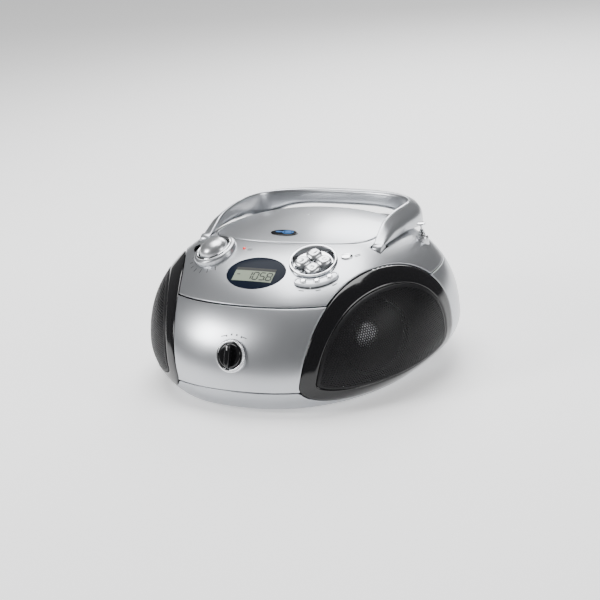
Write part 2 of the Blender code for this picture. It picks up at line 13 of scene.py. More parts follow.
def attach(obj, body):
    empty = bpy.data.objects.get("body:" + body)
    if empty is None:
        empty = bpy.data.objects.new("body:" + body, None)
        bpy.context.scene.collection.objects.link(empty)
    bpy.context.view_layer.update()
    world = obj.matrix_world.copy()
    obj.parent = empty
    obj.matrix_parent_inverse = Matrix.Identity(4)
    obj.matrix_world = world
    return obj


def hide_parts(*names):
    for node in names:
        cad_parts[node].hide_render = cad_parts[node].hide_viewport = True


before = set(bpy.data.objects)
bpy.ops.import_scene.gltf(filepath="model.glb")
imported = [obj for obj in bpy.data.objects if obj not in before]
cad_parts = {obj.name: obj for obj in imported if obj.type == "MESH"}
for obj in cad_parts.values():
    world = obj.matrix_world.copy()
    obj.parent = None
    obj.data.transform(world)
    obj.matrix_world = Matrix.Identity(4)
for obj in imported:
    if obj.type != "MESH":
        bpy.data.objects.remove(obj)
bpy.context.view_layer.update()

# ---- Case shells ---------------------------------------------------------------------------
# Four mouldings of ABS sprayed silver: base tray, front panel, rear panel and top. They share one
# pebble surface and meet at fine seams. Each edge is rolled in, where the mould's edge is rounded.

MM = 0.001
SAME_SPOT = 2e-6
FOOTPRINT_SHIFT = 8.86
HALF_WIDTH, FRONT_DEPTH, REAR_DEPTH = 140.0, 146.5, 105.0
PLAN_MIDDLE, PLAN_POWER = 15.0, 2.3
FLOOR, CROWN = 4.0, 129.0
FRONT_WIDEST, SIDE_WIDEST = 22.0, 40.0
FRONT_POWER, SIDE_POWER, REAR_POWER = 2.0, 2.5, 3.2
FRONT_TUCK, SIDE_TUCK = 57.0, 62.0
LOWER_SEAM, UPPER_SEAM = 22.0, 88.0
SEAM_HALF, SHELL_GAP, LID_GAP = 0.3, 0.35, 0.5
ROLL, SHELL_WALL, EDGE_ANGLE = 0.6, 0.6, 38
SPEAKER_ANGLE = math.radians(60)
SPEAKER_EDGE = np.array([58.0, -118.0, 0.0])
OPENING_ALONG, OPENING_HEIGHT = 79.5, 30.0
OPENING_HALF, OPENING_RISE, OPENING_DROP = 81.0, 76.0, 24.0
OPENING_LEAN, OPENING_UPPER_POWER, OPENING_LOWER_POWER = 0.21, 2.1, 2.5
OPENING_DEPTH = 60.0
LID_FRONT, LID_SHOULDER, LID_REAR, LID_HALF_WIDTH = -32.0, -13.0, 95.5, 79.0
LID_MIDDLE = (LID_SHOULDER + LID_REAR) / 2
LID_OPENING_REAR = 99.2
LID_REAR_POWER, LID_FRONT_POWER = 3.2, 7.0
SPEAKER_TURN = -0.56


def case_reaches(height):
    """Half width, front depth and rear depth of the case at each height.

    Above its widest height a reach follows 1 = reach^p + rise^p; below, it follows an ellipse.
    """
    reaches = []
    for half, widest, power, tuck in ((HALF_WIDTH, SIDE_WIDEST, SIDE_POWER, SIDE_TUCK),
                                      (FRONT_DEPTH, FRONT_WIDEST, FRONT_POWER, FRONT_TUCK),
                                      (REAR_DEPTH, SIDE_WIDEST, REAR_POWER, SIDE_TUCK)):
        rise = np.clip((height - widest) / (CROWN - widest), 0, 1)
        fall = np.clip((widest - height) / tuck, 0, 1)
        reaches.append(half * (1 - rise ** power) ** (1 / power) * np.sqrt(1 - fall ** 2))
    return reaches


def case_surface(turn, height):
    """Points of the case at a plan angle and height: radius = 1 / (|cos/a|^n + |sin/b|^n)^(1/n)."""
    turn, height = np.broadcast_arrays(turn, height)
    width, front, rear = (np.maximum(reach, 1e-4) for reach in case_reaches(height))
    across, along = np.cos(turn), np.sin(turn)
    depth = np.where(along > 0, rear, front)
    radius = (np.abs(across / width) ** PLAN_POWER + np.abs(along / depth) ** PLAN_POWER) ** (-1 / PLAN_POWER)
    return np.stack([radius * across, PLAN_MIDDLE + radius * along, height], axis=-1)


def case_excess(points):
    """Positive outside the case and negative inside: |x/a|^n + |y/b|^n - 1."""
    height = np.minimum(points[..., 2], CROWN - 0.01)
    width, front, rear = (np.maximum(reach, 1e-4) for reach in case_reaches(height))
    along = points[..., 1] - PLAN_MIDDLE
    depth = np.where(along > 0, rear, front)
    excess = np.abs(points[..., 0] / width) ** PLAN_POWER + np.abs(along / depth) ** PLAN_POWER - 1
    return np.where(points[..., 2] >= CROWN, 1.0, excess)


def crossing(value, low, high, steps=30):
    """Where a function of an array changes sign between low (negative) and high, by halving."""
    for _ in range(steps):
        middle = (low + high) / 2
        inside = value(middle) < 0
        low, high = np.where(inside, middle, low), np.where(inside, high, middle)
    return low


def case_normals(points):
    """Unit outward normals: the gradient of case_excess by central differences."""
    step = 0.3 * np.eye(3)
    slope = np.stack([case_excess(points + side) - case_excess(points - side) for side in step], axis=-1)
    return slope / np.linalg.norm(slope, axis=-1, keepdims=True)


def onto_case(points, direction):
    """Move points along a direction until they meet the case from inside."""
    direction = np.asarray(direction, float)
    reach = crossing(lambda far: case_excess(points + far[..., None] * direction),
                     np.zeros(points.shape[:-1]), np.full(points.shape[:-1], 220.0))
    return points + reach[..., None] * direction


def opening_value(points, side, margin=0.0):
    """Below 1 inside a speaker opening: a leaning superellipse in the plane 60 degrees off the front."""
    along = np.array([side * math.cos(SPEAKER_ANGLE), math.sin(SPEAKER_ANGLE), 0.0])
    edge = SPEAKER_EDGE * (side, 1, 1)
    rise = points[..., 2] - OPENING_HEIGHT
    run = (points - edge) @ along - OPENING_ALONG - OPENING_LEAN * rise
    tall = np.where(rise > 0, OPENING_RISE, OPENING_DROP) + margin
    power = np.where(rise > 0, OPENING_UPPER_POWER, OPENING_LOWER_POWER)
    value = (np.abs(run / (OPENING_HALF + margin)) ** power + np.abs(rise / tall) ** power) ** (1 / power)
    outward = (points - edge) @ np.array([side * math.sin(SPEAKER_ANGLE), -math.cos(SPEAKER_ANGLE), 0.0])
    return np.where(outward < -OPENING_DEPTH, 9.0, value)


def lid_value(points, margin, rear):
    """Below 1 inside the lid's plan outline: bowed front edge, square front corners, rounder rear corners."""
    half = LID_HALF_WIDTH + margin
    across = np.abs(points[..., 0]) / half
    back = np.maximum(points[..., 1] - LID_MIDDLE, 0) / (rear - LID_MIDDLE)
    bow = (LID_SHOULDER - LID_FRONT) * (1 - np.minimum(across, 1) ** 2)
    ahead = np.maximum(LID_MIDDLE - points[..., 1], 0) / (LID_MIDDLE - LID_SHOULDER + margin + bow)
    behind = (across ** LID_REAR_POWER + back ** LID_REAR_POWER) ** (1 / LID_REAR_POWER)
    before = (across ** LID_FRONT_POWER + ahead ** LID_FRONT_POWER) ** (1 / LID_FRONT_POWER)
    return np.where(points[..., 1] > LID_MIDDLE, behind, before)


def rolled(grid, radius=0.7, depth=2.2, steps=4, out=None):
    """Roll the last row of a grid over: a quarter circle outwards and down, then a straight wall."""
    out = case_normals(grid[-1]) if out is None else out
    ahead = grid[-1] - grid[-2]
    ahead -= (ahead * out).sum(-1, keepdims=True) * out
    ahead /= np.maximum(np.linalg.norm(ahead, axis=-1, keepdims=True), 1e-9)
    rows = []
    for bend in np.linspace(0, math.pi / 2, steps + 1)[1:]:
        rows.append(grid[-1] + radius * (math.sin(bend) * ahead - (1 - math.cos(bend)) * out))
    rows.append(grid[-1] + radius * ahead - depth * out)
    return np.concatenate([grid, np.stack(rows)])


def rolled_all_round(grid, radius=0.7, depth=2.2):
    """Roll all four sides of an open grid."""
    for _ in range(4):
        grid = rolled(grid, radius, depth)
        grid = np.flip(np.swapaxes(grid, 0, 1), 0)
    return grid


def quads(rows, columns, around=False):
    """Corner indices of a grid's faces; around joins the last column to the first."""
    row = np.arange(rows - 1)[:, None]
    column = np.arange(columns if around else columns - 1)[None, :]
    after = (column + 1) % columns
    corners = np.stack([row * columns + column, row * columns + after,
                        (row + 1) * columns + after, (row + 1) * columns + column], axis=-1)
    return corners.reshape(-1, 4)


def joined_mesh(name, surfaces, sharp=EDGE_ANGLE):
    """One mesh from (grid, around) or (points, faces) pairs in millimetres, its faces turned outwards."""
    points, faces, count = [], [], 0
    for shape, link in surfaces:
        corners = link if isinstance(link, np.ndarray) else quads(shape.shape[0], shape.shape[1], link)
        points.append(shape.reshape(-1, 3))
        faces.append(corners + count)
        count += points[-1].shape[0]
    points = (np.concatenate(points) + (0, FOOTPRINT_SHIFT, 0)) * MM
    mesh = bpy.data.meshes.new(name)
    mesh.from_pydata(points.tolist(), [], np.concatenate(faces).tolist())
    shape = bmesh.new()
    shape.from_mesh(mesh)
    bmesh.ops.remove_doubles(shape, verts=shape.verts, dist=SAME_SPOT)
    loose = [vert for vert in shape.verts if not vert.link_faces]
    bmesh.ops.delete(shape, geom=loose, context="VERTS")
    bmesh.ops.recalc_face_normals(shape, faces=shape.faces)
    shape.to_mesh(mesh)
    shape.free()
    mesh.shade_smooth()
    mesh.set_sharp_from_angle(angle=math.radians(sharp))
    return mesh


def make_piece(name, surfaces, body, nodes, finish, wall=None, sharp=EDGE_ANGLE):
    """Make a piece that rides on a body and stands for its CAD nodes; wall adds thickness inwards."""
    mesh = joined_mesh(name, surfaces, sharp)
    piece = bpy.data.objects.new(name, mesh)
    bpy.context.scene.collection.objects.link(piece)
    mesh.materials.append(finish)
    if wall:
        solidify = piece.modifiers.new("wall", "SOLIDIFY")
        solidify.thickness = wall * MM
        solidify.offset = -1
    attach(piece, body)
    if nodes:
        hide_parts(*nodes)
    return piece


def cut_openings(piece, cutters):
    """Cut closed grids that do not touch each other out of a walled piece; keep the result as its mesh."""
    helper = bpy.data.objects.new("cutter", joined_mesh("cutter", cutters))
    bpy.context.scene.collection.objects.link(helper)
    opening = piece.modifiers.new("opening", "BOOLEAN")
    opening.solver = "EXACT"
    opening.object = helper
    made = bpy.data.meshes.new_from_object(piece.evaluated_get(bpy.context.evaluated_depsgraph_get()))
    piece.modifiers.clear()
    piece.data = made
    made.set_sharp_from_angle(angle=math.radians(EDGE_ANGLE))
    bpy.data.objects.remove(helper)


COAT_ROUGHNESS, DRIFT_SCALE, GRAIN_DEPTH = 0.08, 35, 0.0001


def finish_material(name, colour, roughness, metallic=0.0, coat=0.0, grain=0.0, grain_size=0.0004,
                    mottle=0.06, wear=0.04, shine=None, glow=None):
    """Principled finish with fine grain in the bump and slow drift in colour and roughness.

    shine is the specular level, and glow a light colour and its strength.
    """
    made = bpy.data.materials.new(name)
    made.use_nodes = True
    nodes, links = made.node_tree.nodes, made.node_tree.links
    shader = nodes["Principled BSDF"]
    shader.inputs["Metallic"].default_value = metallic
    shader.inputs["Coat Weight"].default_value = coat
    shader.inputs["Coat Roughness"].default_value = COAT_ROUGHNESS
    if shine is not None:
        shader.inputs["Specular IOR Level"].default_value = shine
    if glow is not None:
        shader.inputs["Emission Color"].default_value = glow[0]
        shader.inputs["Emission Strength"].default_value = glow[1]
    place = nodes.new("ShaderNodeTexCoord")
    drift = nodes.new("ShaderNodeTexNoise")
    drift.inputs["Scale"].default_value = DRIFT_SCALE
    drift.inputs["Detail"].default_value = 3
    links.new(place.outputs["Object"], drift.inputs["Vector"])
    tone = nodes.new("ShaderNodeMapRange")
    tone.inputs["To Min"].default_value = 1 - mottle
    tone.inputs["To Max"].default_value = 1 + mottle
    links.new(drift.outputs["Fac"], tone.inputs["Value"])
    tint = nodes.new("ShaderNodeVectorMath")
    tint.operation = "SCALE"
    tint.inputs[0].default_value = colour
    links.new(tone.outputs["Result"], tint.inputs["Scale"])
    links.new(tint.outputs["Vector"], shader.inputs["Base Color"])
    rub = nodes.new("ShaderNodeMapRange")
    rub.inputs["To Min"].default_value = max(roughness - wear, 0.02)
    rub.inputs["To Max"].default_value = roughness + wear
    links.new(drift.outputs["Fac"], rub.inputs["Value"])
    links.new(rub.outputs["Result"], shader.inputs["Roughness"])
    if grain:
        fine = nodes.new("ShaderNodeTexNoise")
        fine.inputs["Scale"].default_value = 1 / grain_size
        fine.inputs["Detail"].default_value = 2
        links.new(place.outputs["Object"], fine.inputs["Vector"])
        bump = nodes.new("ShaderNodeBump")
        bump.inputs["Strength"].default_value = grain
        bump.inputs["Distance"].default_value = GRAIN_DEPTH
        links.new(fine.outputs["Fac"], bump.inputs["Height"])
        links.new(bump.outputs["Normal"], shader.inputs["Normal"])
    return made


silver_paint = finish_material("silver_paint", (0.50, 0.515, 0.54), roughness=0.30, metallic=0.88,
                               coat=0.2, grain=0.03, grain_size=0.0006, mottle=0.015, wear=0.015)
base_paint = finish_material("base_paint", (0.42, 0.435, 0.46), roughness=0.32, metallic=0.85, coat=0.2,
                             grain=0.03, grain_size=0.0006, mottle=0.015, wear=0.015)


def joint_turns(height):
    """Right-hand plan angles where a level ring enters and leaves the speaker opening."""
    height = np.asarray(height, float)
    middle = np.full(height.shape, SPEAKER_TURN)

    def gap(turn):
        return 1 - opening_value(case_surface(turn, height), 1, SHELL_GAP)

    enters = crossing(gap, np.full(height.shape, -math.pi / 2), middle)
    leaves = crossing(lambda turn: -gap(turn), middle, np.full(height.shape, 1.2))
    return enters, leaves


def panel_between(low_turn, high_turn, heights, columns):
    """Case patch between two edge angles given for every height."""
    share = np.linspace(0, 1, columns)
    turn = low_turn[:, None] + (high_turn - low_turn)[:, None] * share
    return case_surface(turn, heights[:, None])


panel_heights = np.linspace(LOWER_SEAM + SEAM_HALF + ROLL, UPPER_SEAM - SEAM_HALF - ROLL, 46)
enters, leaves = joint_turns(panel_heights)
front_grid = panel_between(-math.pi - enters, enters, panel_heights, 90)
make_piece("front_panel_shell", [(rolled_all_round(front_grid, ROLL), False)], "chassis", ["front_panel"],
           silver_paint, wall=SHELL_WALL)

rear_grid = panel_between(leaves, math.pi - leaves, panel_heights, 160)
rear_case = make_piece("rear_panel_shell", [(rolled_all_round(rear_grid, ROLL), False)], "chassis",
                       ["rear_panel"], silver_paint, wall=SHELL_WALL)


def full_turn(count, marks):
    """Plan angles all the way round that include the marks exactly."""
    marks = sorted(mark % (2 * math.pi) for mark in marks)
    pieces = []
    for start, end in zip(marks, marks[1:] + [marks[0] + 2 * math.pi]):
        steps = max(2, round(count * (end - start) / (2 * math.pi)))
        pieces.append(np.linspace(start, end, steps, endpoint=False))
    return np.concatenate(pieces)


def opening_edge(turn, seam, far, margin):
    """Height of a shell's edge at each plan angle: the seam, or the speaker opening where that cuts in."""
    samples = np.linspace(seam, far, 120)
    points = case_surface(turn[:, None], samples[None, :])
    inside = np.minimum(opening_value(points, 1, margin), opening_value(points, -1, margin)) < 1
    cut = np.where(inside.any(axis=1), samples.size - 1 - np.argmax(inside[:, ::-1], axis=1), 0)
    low, high = samples[cut], samples[np.minimum(cut + 1, samples.size - 1)]

    def gap(height):
        spot = case_surface(turn, height)
        return np.minimum(opening_value(spot, 1, margin), opening_value(spot, -1, margin)) - 1

    return np.where(inside.any(axis=1), crossing(gap, low, high), seam)


top_marks = joint_turns(np.array([UPPER_SEAM + SEAM_HALF + ROLL]))
top_marks = [float(mark[0]) for mark in top_marks]
both_sides = top_marks + [math.pi - mark for mark in top_marks]
top_turns = full_turn(560, [-math.pi / 2, math.pi / 2] + both_sides)
SPEAKER_TOP_LIMIT = 116.0
seam_edge = opening_edge(top_turns, UPPER_SEAM + SEAM_HALF + ROLL, SPEAKER_TOP_LIMIT, SHELL_GAP + ROLL)


def outside_lid(height):
    """Negative where the top ring is outside the lid's opening, positive inside it."""
    return 1 - lid_value(case_surface(top_turns, height), LID_GAP + ROLL, LID_OPENING_REAR + ROLL)


lid_edge = crossing(outside_lid, np.full(top_turns.shape, UPPER_SEAM), np.full(top_turns.shape, CROWN - 0.5))
share = np.linspace(0, 1, 40)[:, None]
top_grid = case_surface(top_turns, seam_edge + (lid_edge - seam_edge) * share)
top_grid = rolled(rolled(top_grid, ROLL)[::-1], ROLL)


def frame_on_case(start, direction):
    """Frame on the case where a ray from inside meets it: columns are across, up the slope and outwards."""
    spot = onto_case(np.array([start], float), direction)
    out = case_normals(spot)[0]
    across = np.cross((0, 0, 1), out)
    across /= np.linalg.norm(across)
    return spot[0], np.stack([across, np.cross(out, across), out], axis=-1)


top_case = make_piece("top_case_shell", [(top_grid, True)], "chassis", ["top_shell"], silver_paint,
                      wall=SHELL_WALL)

base_marks = joint_turns(np.array([LOWER_SEAM - SEAM_HALF - ROLL]))
base_marks = [float(mark[0]) for mark in base_marks]
both_sides = base_marks + [math.pi - mark for mark in base_marks]
base_turns = full_turn(420, [-math.pi / 2, math.pi / 2] + both_sides)
base_edge = opening_edge(base_turns, LOWER_SEAM - SEAM_HALF - ROLL, FLOOR + 1.25, SHELL_GAP + ROLL)
foot_round = FLOOR + 1.0
share = np.linspace(0, 1, 14)[:, None]
band_grid = rolled(case_surface(base_turns, foot_round + (base_edge - foot_round) * share), ROLL)
DOOR_LOW, DOOR_HIGH = np.array([-41.0, 14.0]), np.array([61.0, 84.0])
DOOR_GAP, DOOR_LIP, TRAY_REACH = 0.3, 2.2, 110


def rectangle_ring(turn, low, high):
    """Points on a rectangle in every direction from its middle."""
    half = (high - low) / 2
    reach = 1 / np.maximum(np.abs(np.cos(turn)) / half[0], np.abs(np.sin(turn)) / half[1])
    return (low + high) / 2 + reach[:, None] * np.stack([np.cos(turn), np.sin(turn)], axis=-1)


underside_outer = case_surface(base_turns, np.full(base_turns.shape, foot_round))
door_middle = (DOOR_LOW + DOOR_HIGH) / 2
ring_turn = np.arctan2(underside_outer[:, 1] - door_middle[1], underside_outer[:, 0] - door_middle[0])
door_ring = rectangle_ring(ring_turn, DOOR_LOW - DOOR_GAP, DOOR_HIGH + DOOR_GAP)
rows = [underside_outer]
for inward, drop in ((0.5, 0.6), (1.5, 0.9), (3.0, 1.0)):
    pulled = underside_outer.copy()
    pulled[:, :2] += (np.array([0, PLAN_MIDDLE]) - pulled[:, :2]) * inward / TRAY_REACH
    pulled[:, 2] -= drop
    rows.append(pulled)
door_edge = np.concatenate([door_ring, np.full((door_ring.shape[0], 1), FLOOR)], axis=1)
for part in (0.35, 0.7, 1.0):
    rows.append(rows[3] + (door_edge - rows[3]) * part)
rows.append(door_edge + (0, 0, DOOR_LIP))
make_piece("base_tray", [(np.concatenate([np.stack(rows[::-1]), band_grid[1:]]), True)], "chassis",
           ["bottom_shell"], base_paint, wall=SHELL_WALL)

# ---- Speakers ------------------------------------------------------------------------------
# Each side has a gloss black ring, a bulging sheet of punched steel sprayed black, a baffle and a
# 3 inch driver with a doped paper cone. The ring and the sheet snap into the case from outside.

gloss_black = finish_material("gloss_black", (0.006, 0.006, 0.007), roughness=0.12, coat=0.3,
                              grain=0.02, grain_size=0.0012, mottle=0.1, wear=0.03, shine=0.35)
grille_black = finish_material("grille_black", (0.010, 0.010, 0.011), roughness=0.42, grain=0.1,
                               grain_size=0.0005, mottle=0.1, wear=0.05, shine=0.2)
baffle_black = finish_material("baffle_black", (0.02, 0.02, 0.021), roughness=0.55, grain=0.3,
                               grain_size=0.0007, mottle=0.15, wear=0.08)
cone_paper = finish_material("cone_paper", (0.022, 0.022, 0.023), roughness=0.6, grain=0.6,
                             grain_size=0.0006, mottle=0.2, wear=0.1)
dust_cap_foil = finish_material("dust_cap_foil", (0.62, 0.63, 0.65), roughness=0.36, metallic=0.85,
                                grain=0.1, grain_size=0.0008, mottle=0.05, wear=0.05)
surround_rubber = finish_material("surround_rubber", (0.012, 0.012, 0.012), roughness=0.45, grain=0.3,
                                  grain_size=0.0005, mottle=0.1, wear=0.1)
pressed_steel = finish_material("pressed_steel", (0.45, 0.46, 0.47), roughness=0.32, metallic=1.0,
                                grain=0.2, grain_size=0.0004, mottle=0.08, wear=0.08)
TRIM_WIDTH, SHEET_EDGE = 12.0, 1.2
DRIVER_ALONG, DRIVER_HEIGHT = 82.0, 47.0
HOLE_PITCH, HOLE_RADIUS = 2.1, 0.74


def opening_ring(angle, shrink):
    """(along, height) on the opening's leaning superellipse, shrunk by a margin."""
    power = np.where(np.sin(angle) > 0, OPENING_UPPER_POWER, OPENING_LOWER_POWER)
    run = (OPENING_HALF - shrink) * np.sign(np.cos(angle)) * np.abs(np.cos(angle)) ** (2 / power)
    tall = np.where(np.sin(angle) > 0, OPENING_RISE, OPENING_DROP) - shrink
    rise = tall * np.sign(np.sin(angle)) * np.abs(np.sin(angle)) ** (2 / power)
    return OPENING_ALONG + run + OPENING_LEAN * rise, OPENING_HEIGHT + rise


def speaker_frame(side):
    """Origin and axes (along, up, out) of a speaker opening."""
    along = np.array([side * math.cos(SPEAKER_ANGLE), math.sin(SPEAKER_ANGLE), 0.0])
    out = np.array([side * math.sin(SPEAKER_ANGLE), -math.cos(SPEAKER_ANGLE), 0.0])
    return SPEAKER_EDGE * (side, 1, 1), along, np.array([0.0, 0.0, 1.0]), out


def on_opening(along, height, side, sink=0.0):
    """Case points behind (along, height) in a speaker opening, sunk below the surface."""
    edge, run, up, out = speaker_frame(side)
    start = edge + along[..., None] * run + height[..., None] * up - 50 * out
    points = onto_case(start, out)
    return points - np.asarray(sink)[..., None] * case_normals(points)


def trim_grid(side):
    """A band round the opening: rounded outer edge, gently hollow face and rounded inner edge."""
    angle = np.linspace(0, 2 * math.pi, 260, endpoint=False)[None, :]
    shrink = np.array([0.3, 0.3, 0.35, 0.6, 1.1, 2.5, 5, 7.5, 9.5, 10.8, 11.5, 11.9, 12.0, 12.0])[:, None]
    sink = np.array([2.8, 1.0, 0.5, 0.15, 0.0, -0.1, 0.0, 0.1, 0.1, 0.2, 0.5, 1.1, 2.0, 3.4])[:, None]
    along, height = opening_ring(angle, shrink)
    return on_opening(along, height, side, np.broadcast_to(sink, along.shape))


def punched_sheet(side):
    """Hexagonal cells, each a ring of six quads round a hole, and a plain rim that covers their ends."""
    across, up = np.meshgrid(np.arange(-60, 60), np.arange(-60, 60))
    along = OPENING_ALONG + HOLE_PITCH * (across + 0.5 * (up % 2))
    height = OPENING_HEIGHT + HOLE_PITCH * math.sqrt(3) / 2 * up
    along, height = along.ravel(), height.ravel()
    rise = height - OPENING_HEIGHT
    run = along - OPENING_ALONG - OPENING_LEAN * rise
    tall = np.where(rise > 0, OPENING_RISE, OPENING_DROP) - TRIM_WIDTH - SHEET_EDGE
    power = np.where(rise > 0, OPENING_UPPER_POWER, OPENING_LOWER_POWER)
    value = np.abs(run / (OPENING_HALF - TRIM_WIDTH - SHEET_EDGE)) ** power + np.abs(rise / tall) ** power
    along, height = along[value < 1], height[value < 1]
    corner = math.pi / 6 + math.pi / 3 * np.arange(6)
    cell = HOLE_PITCH / math.sqrt(3)
    radii = np.array([cell, HOLE_RADIUS, HOLE_RADIUS])[None, :, None]
    ring_along = along[:, None, None] + radii * np.cos(corner)
    ring_height = height[:, None, None] + radii * np.sin(corner)
    sink = np.broadcast_to(np.array([0.5, 0.5, 1.2])[None, :, None], ring_along.shape)
    points = on_opening(ring_along, ring_height, side, sink).reshape(-1, 3)
    step = np.arange(6)
    after = (step + 1) % 6
    one = np.concatenate([np.stack([step, after, 6 + after, 6 + step], axis=-1),
                          np.stack([6 + step, 6 + after, 12 + after, 12 + step], axis=-1)])
    faces = (one[None] + 18 * np.arange(along.size)[:, None, None]).reshape(-1, 4)
    angle = np.linspace(0, 2 * math.pi, 200, endpoint=False)[None, :]
    shrink = np.array([12.2, 12.4, 12.9, 14.6, 15.0, 15.0])[:, None]
    sink = np.array([2.6, 0.7, 0.3, 0.3, 0.4, 0.9])[:, None]
    rim_along, rim_height = opening_ring(angle, shrink)
    rim = on_opening(rim_along, rim_height, side, np.broadcast_to(sink, rim_along.shape))
    return [(points, faces), (rim, True)]


def turned(profile, place, steps=72):
    """Carry a (radius, height) profile round an axis: (radius cos, radius sin, height) in a frame."""
    spot, turn = place
    profile = np.asarray(profile, float)
    angle = np.linspace(0, 2 * math.pi, steps, endpoint=False)
    ring = np.stack([profile[:, :1] * np.cos(angle), profile[:, :1] * np.sin(angle),
                     np.broadcast_to(profile[:, 1:], (profile.shape[0], steps))], axis=-1)
    return ring @ turn.T + spot, True


def arc(centre, radius, start, end, steps=6):
    """(radius, height) points on a circular arc, angles in degrees."""
    angle = np.radians(np.linspace(start, end, steps))
    return [(centre[0] + radius * c, centre[1] + radius * s) for c, s in zip(np.cos(angle), np.sin(angle))]


cone = [(30.9, -5.4), (30.4, -5.9), (29.0, -6.1), (26.0, -7.9), (20.0, -11.4), (13.0, -15.3), (12.0, -15.9)]
dust_cap = [(12.0, -15.9), (11.8, -15.2), (10.8, -14.2), (8.6, -13.1), (5.6, -12.6), (2.6, -12.4),
            (0.001, -12.35)]
surround_roll = arc((29.5, -5.9), 1.9, 10, 170, 9)
for side, name in ((-1, "left"), (1, "right")):
    edge, run, up, out = speaker_frame(side)
    driver = (edge + DRIVER_ALONG * run + DRIVER_HEIGHT * up, np.stack([run, up, out], axis=-1))
    ring, sheet = name + "_trim_ring", name + "_grille"
    make_piece(name + "_speaker_ring", [(trim_grid(side), True)], "chassis", [ring], gloss_black)
    make_piece(name + "_punched_grille", punched_sheet(side), "chassis", [sheet], grille_black)
    moving = name + "_cone"
    make_piece(name + "_paper_cone", [turned(cone, driver)], moving, [moving], cone_paper)
    make_piece(name + "_dust_cap", [turned(dust_cap, driver)], moving, [], dust_cap_foil)
    make_piece(name + "_surround", [turned(surround_roll, driver)], moving, [], surround_rubber)

# ---- CD lid ------------------------------------------------------------------------------------
# A domed silver moulding with a bowed front lip, hinged at the rear on a steel pin. A gloss black
# badge with a plain blue disc mark is stuck near its front edge.

LID_ROLL, LID_WALL = 1.1, 0.8
LID_HEART = np.array([0.0, 34.0])
badge_blue = finish_material("badge_blue", (0.05, 0.22, 0.62), roughness=0.25, metallic=0.4, coat=0.6,
                             grain=0.05, grain_size=0.0006, mottle=0.15, wear=0.05)


def lid_ring(angle, margin, rear):
    """Plan outline of the lid at each angle: superellipse behind, squarer and bowed in front."""
    half = LID_HALF_WIDTH + margin
    behind = np.sin(angle) > 0
    power = np.where(behind, LID_REAR_POWER, LID_FRONT_POWER)
    reach = np.where(behind, rear - LID_MIDDLE, LID_MIDDLE - LID_SHOULDER + margin)
    across = half * np.sign(np.cos(angle)) * np.abs(np.cos(angle)) ** (2 / power)
    along = reach * np.sign(np.sin(angle)) * np.abs(np.sin(angle)) ** (2 / power)
    bow = (LID_SHOULDER - LID_FRONT) * (1 - (across / half) ** 2) * np.clip(-along / reach, 0, 1)
    return np.stack([across, LID_MIDDLE + along - bow], axis=-1)


def over_case(plan, lift=0.0):
    """Raise plan points to the case's top surface, plus a lift."""
    start = np.concatenate([plan, np.full(plan.shape[:-1] + (1,), 60.0)], axis=-1)
    return onto_case(start, (0, 0, 1)) + np.asarray(lift)[..., None] * np.array([0, 0, 1.0])


lid_angle = np.linspace(0, 2 * math.pi, 360, endpoint=False)
lid_rim = lid_ring(lid_angle, -LID_ROLL, LID_REAR - LID_ROLL)
spread = np.concatenate([np.linspace(0.0005, 0.93, 34), [0.96, 0.98, 1.0]])[:, None, None]
lid_grid = rolled(over_case(LID_HEART + (lid_rim - LID_HEART) * spread), LID_ROLL, 2.0, 6)
make_piece("disc_lid", [(lid_grid, True)], "lid", ["cd_lid"], silver_paint, wall=LID_WALL)


def ellipse_stack(half_x, half_y, rows, place, power=2.0, steps=96, middle=(0.0, 0.0)):
    """Nested superellipses at (inset, height) rows, closed in the middle of the last one."""
    angle = np.linspace(0, 2 * math.pi, steps, endpoint=False)
    inset, height = (np.array(column, float)[:, None] for column in zip(*rows))
    across = (half_x - inset) * np.sign(np.cos(angle)) * np.abs(np.cos(angle)) ** (2 / power)
    along = (half_y - inset * half_y / half_x) * np.sign(np.sin(angle)) * np.abs(np.sin(angle)) ** (2 / power)
    grid = np.stack([middle[0] + across, middle[1] + along, np.broadcast_to(height, across.shape)], axis=-1)
    spot, turn = place
    return grid @ turn.T + spot, True


def dome_rows(half, foot, wall_top, crown, edge=0.8, steps=8):
    """(inset, height) rows of a button: straight wall, rolled edge and a shallow crown, shut at its top."""
    rows = [(0.0, foot), (0.0, wall_top - edge)]
    rows += [(edge * (1 - math.cos(bend)), wall_top - edge + edge * math.sin(bend))
             for bend in np.linspace(0.3, math.pi / 2, 5)]
    for part in np.linspace(0, 1, steps)[1:]:
        inset = edge + (half - edge - 0.001) * part
        rows.append((inset, wall_top + (crown - wall_top) * (1 - (1 - part) ** 2)))
    return rows


BADGE = frame_on_case((0, -15, 60), (0, 0, 1))
make_piece("oval_badge", [ellipse_stack(13.5, 5.5, dome_rows(13.5, -0.4, 0.5, 0.9, 0.4), BADGE)], "lid",
           ["lid_badge"], gloss_black)
DISC_AT, LABEL_AT = (3.5, 0.4), (-5.5, 0.3)
disc_rim = [(0, 0.6), (0, 0.98), (1.2, 0.98), (1.2, 0.6)]
disc_heart = [(0, 0.6), (0, 1.0), (1.6, 1.03), (3.19, 1.04)]
label_bar = [(0, 0.5), (0, 0.95), (1.2, 0.97), (3.39, 0.98)]
disc_mark = [ellipse_stack(5.6, 3.3, disc_rim, BADGE, middle=DISC_AT),
             ellipse_stack(3.2, 1.9, disc_heart, BADGE, middle=DISC_AT),
             ellipse_stack(3.4, 1.0, label_bar, BADGE, middle=LABEL_AT)]
make_piece("badge_disc_mark", disc_mark, "lid", [], badge_blue)

# ---- Carrying handle --------------------------------------------------------------------------------
# One moulding sprayed silver: two broad blades that rise from their pivots beside the lid and turn
# into a flatter grip over the back edge. It swings up on two short steel pins.

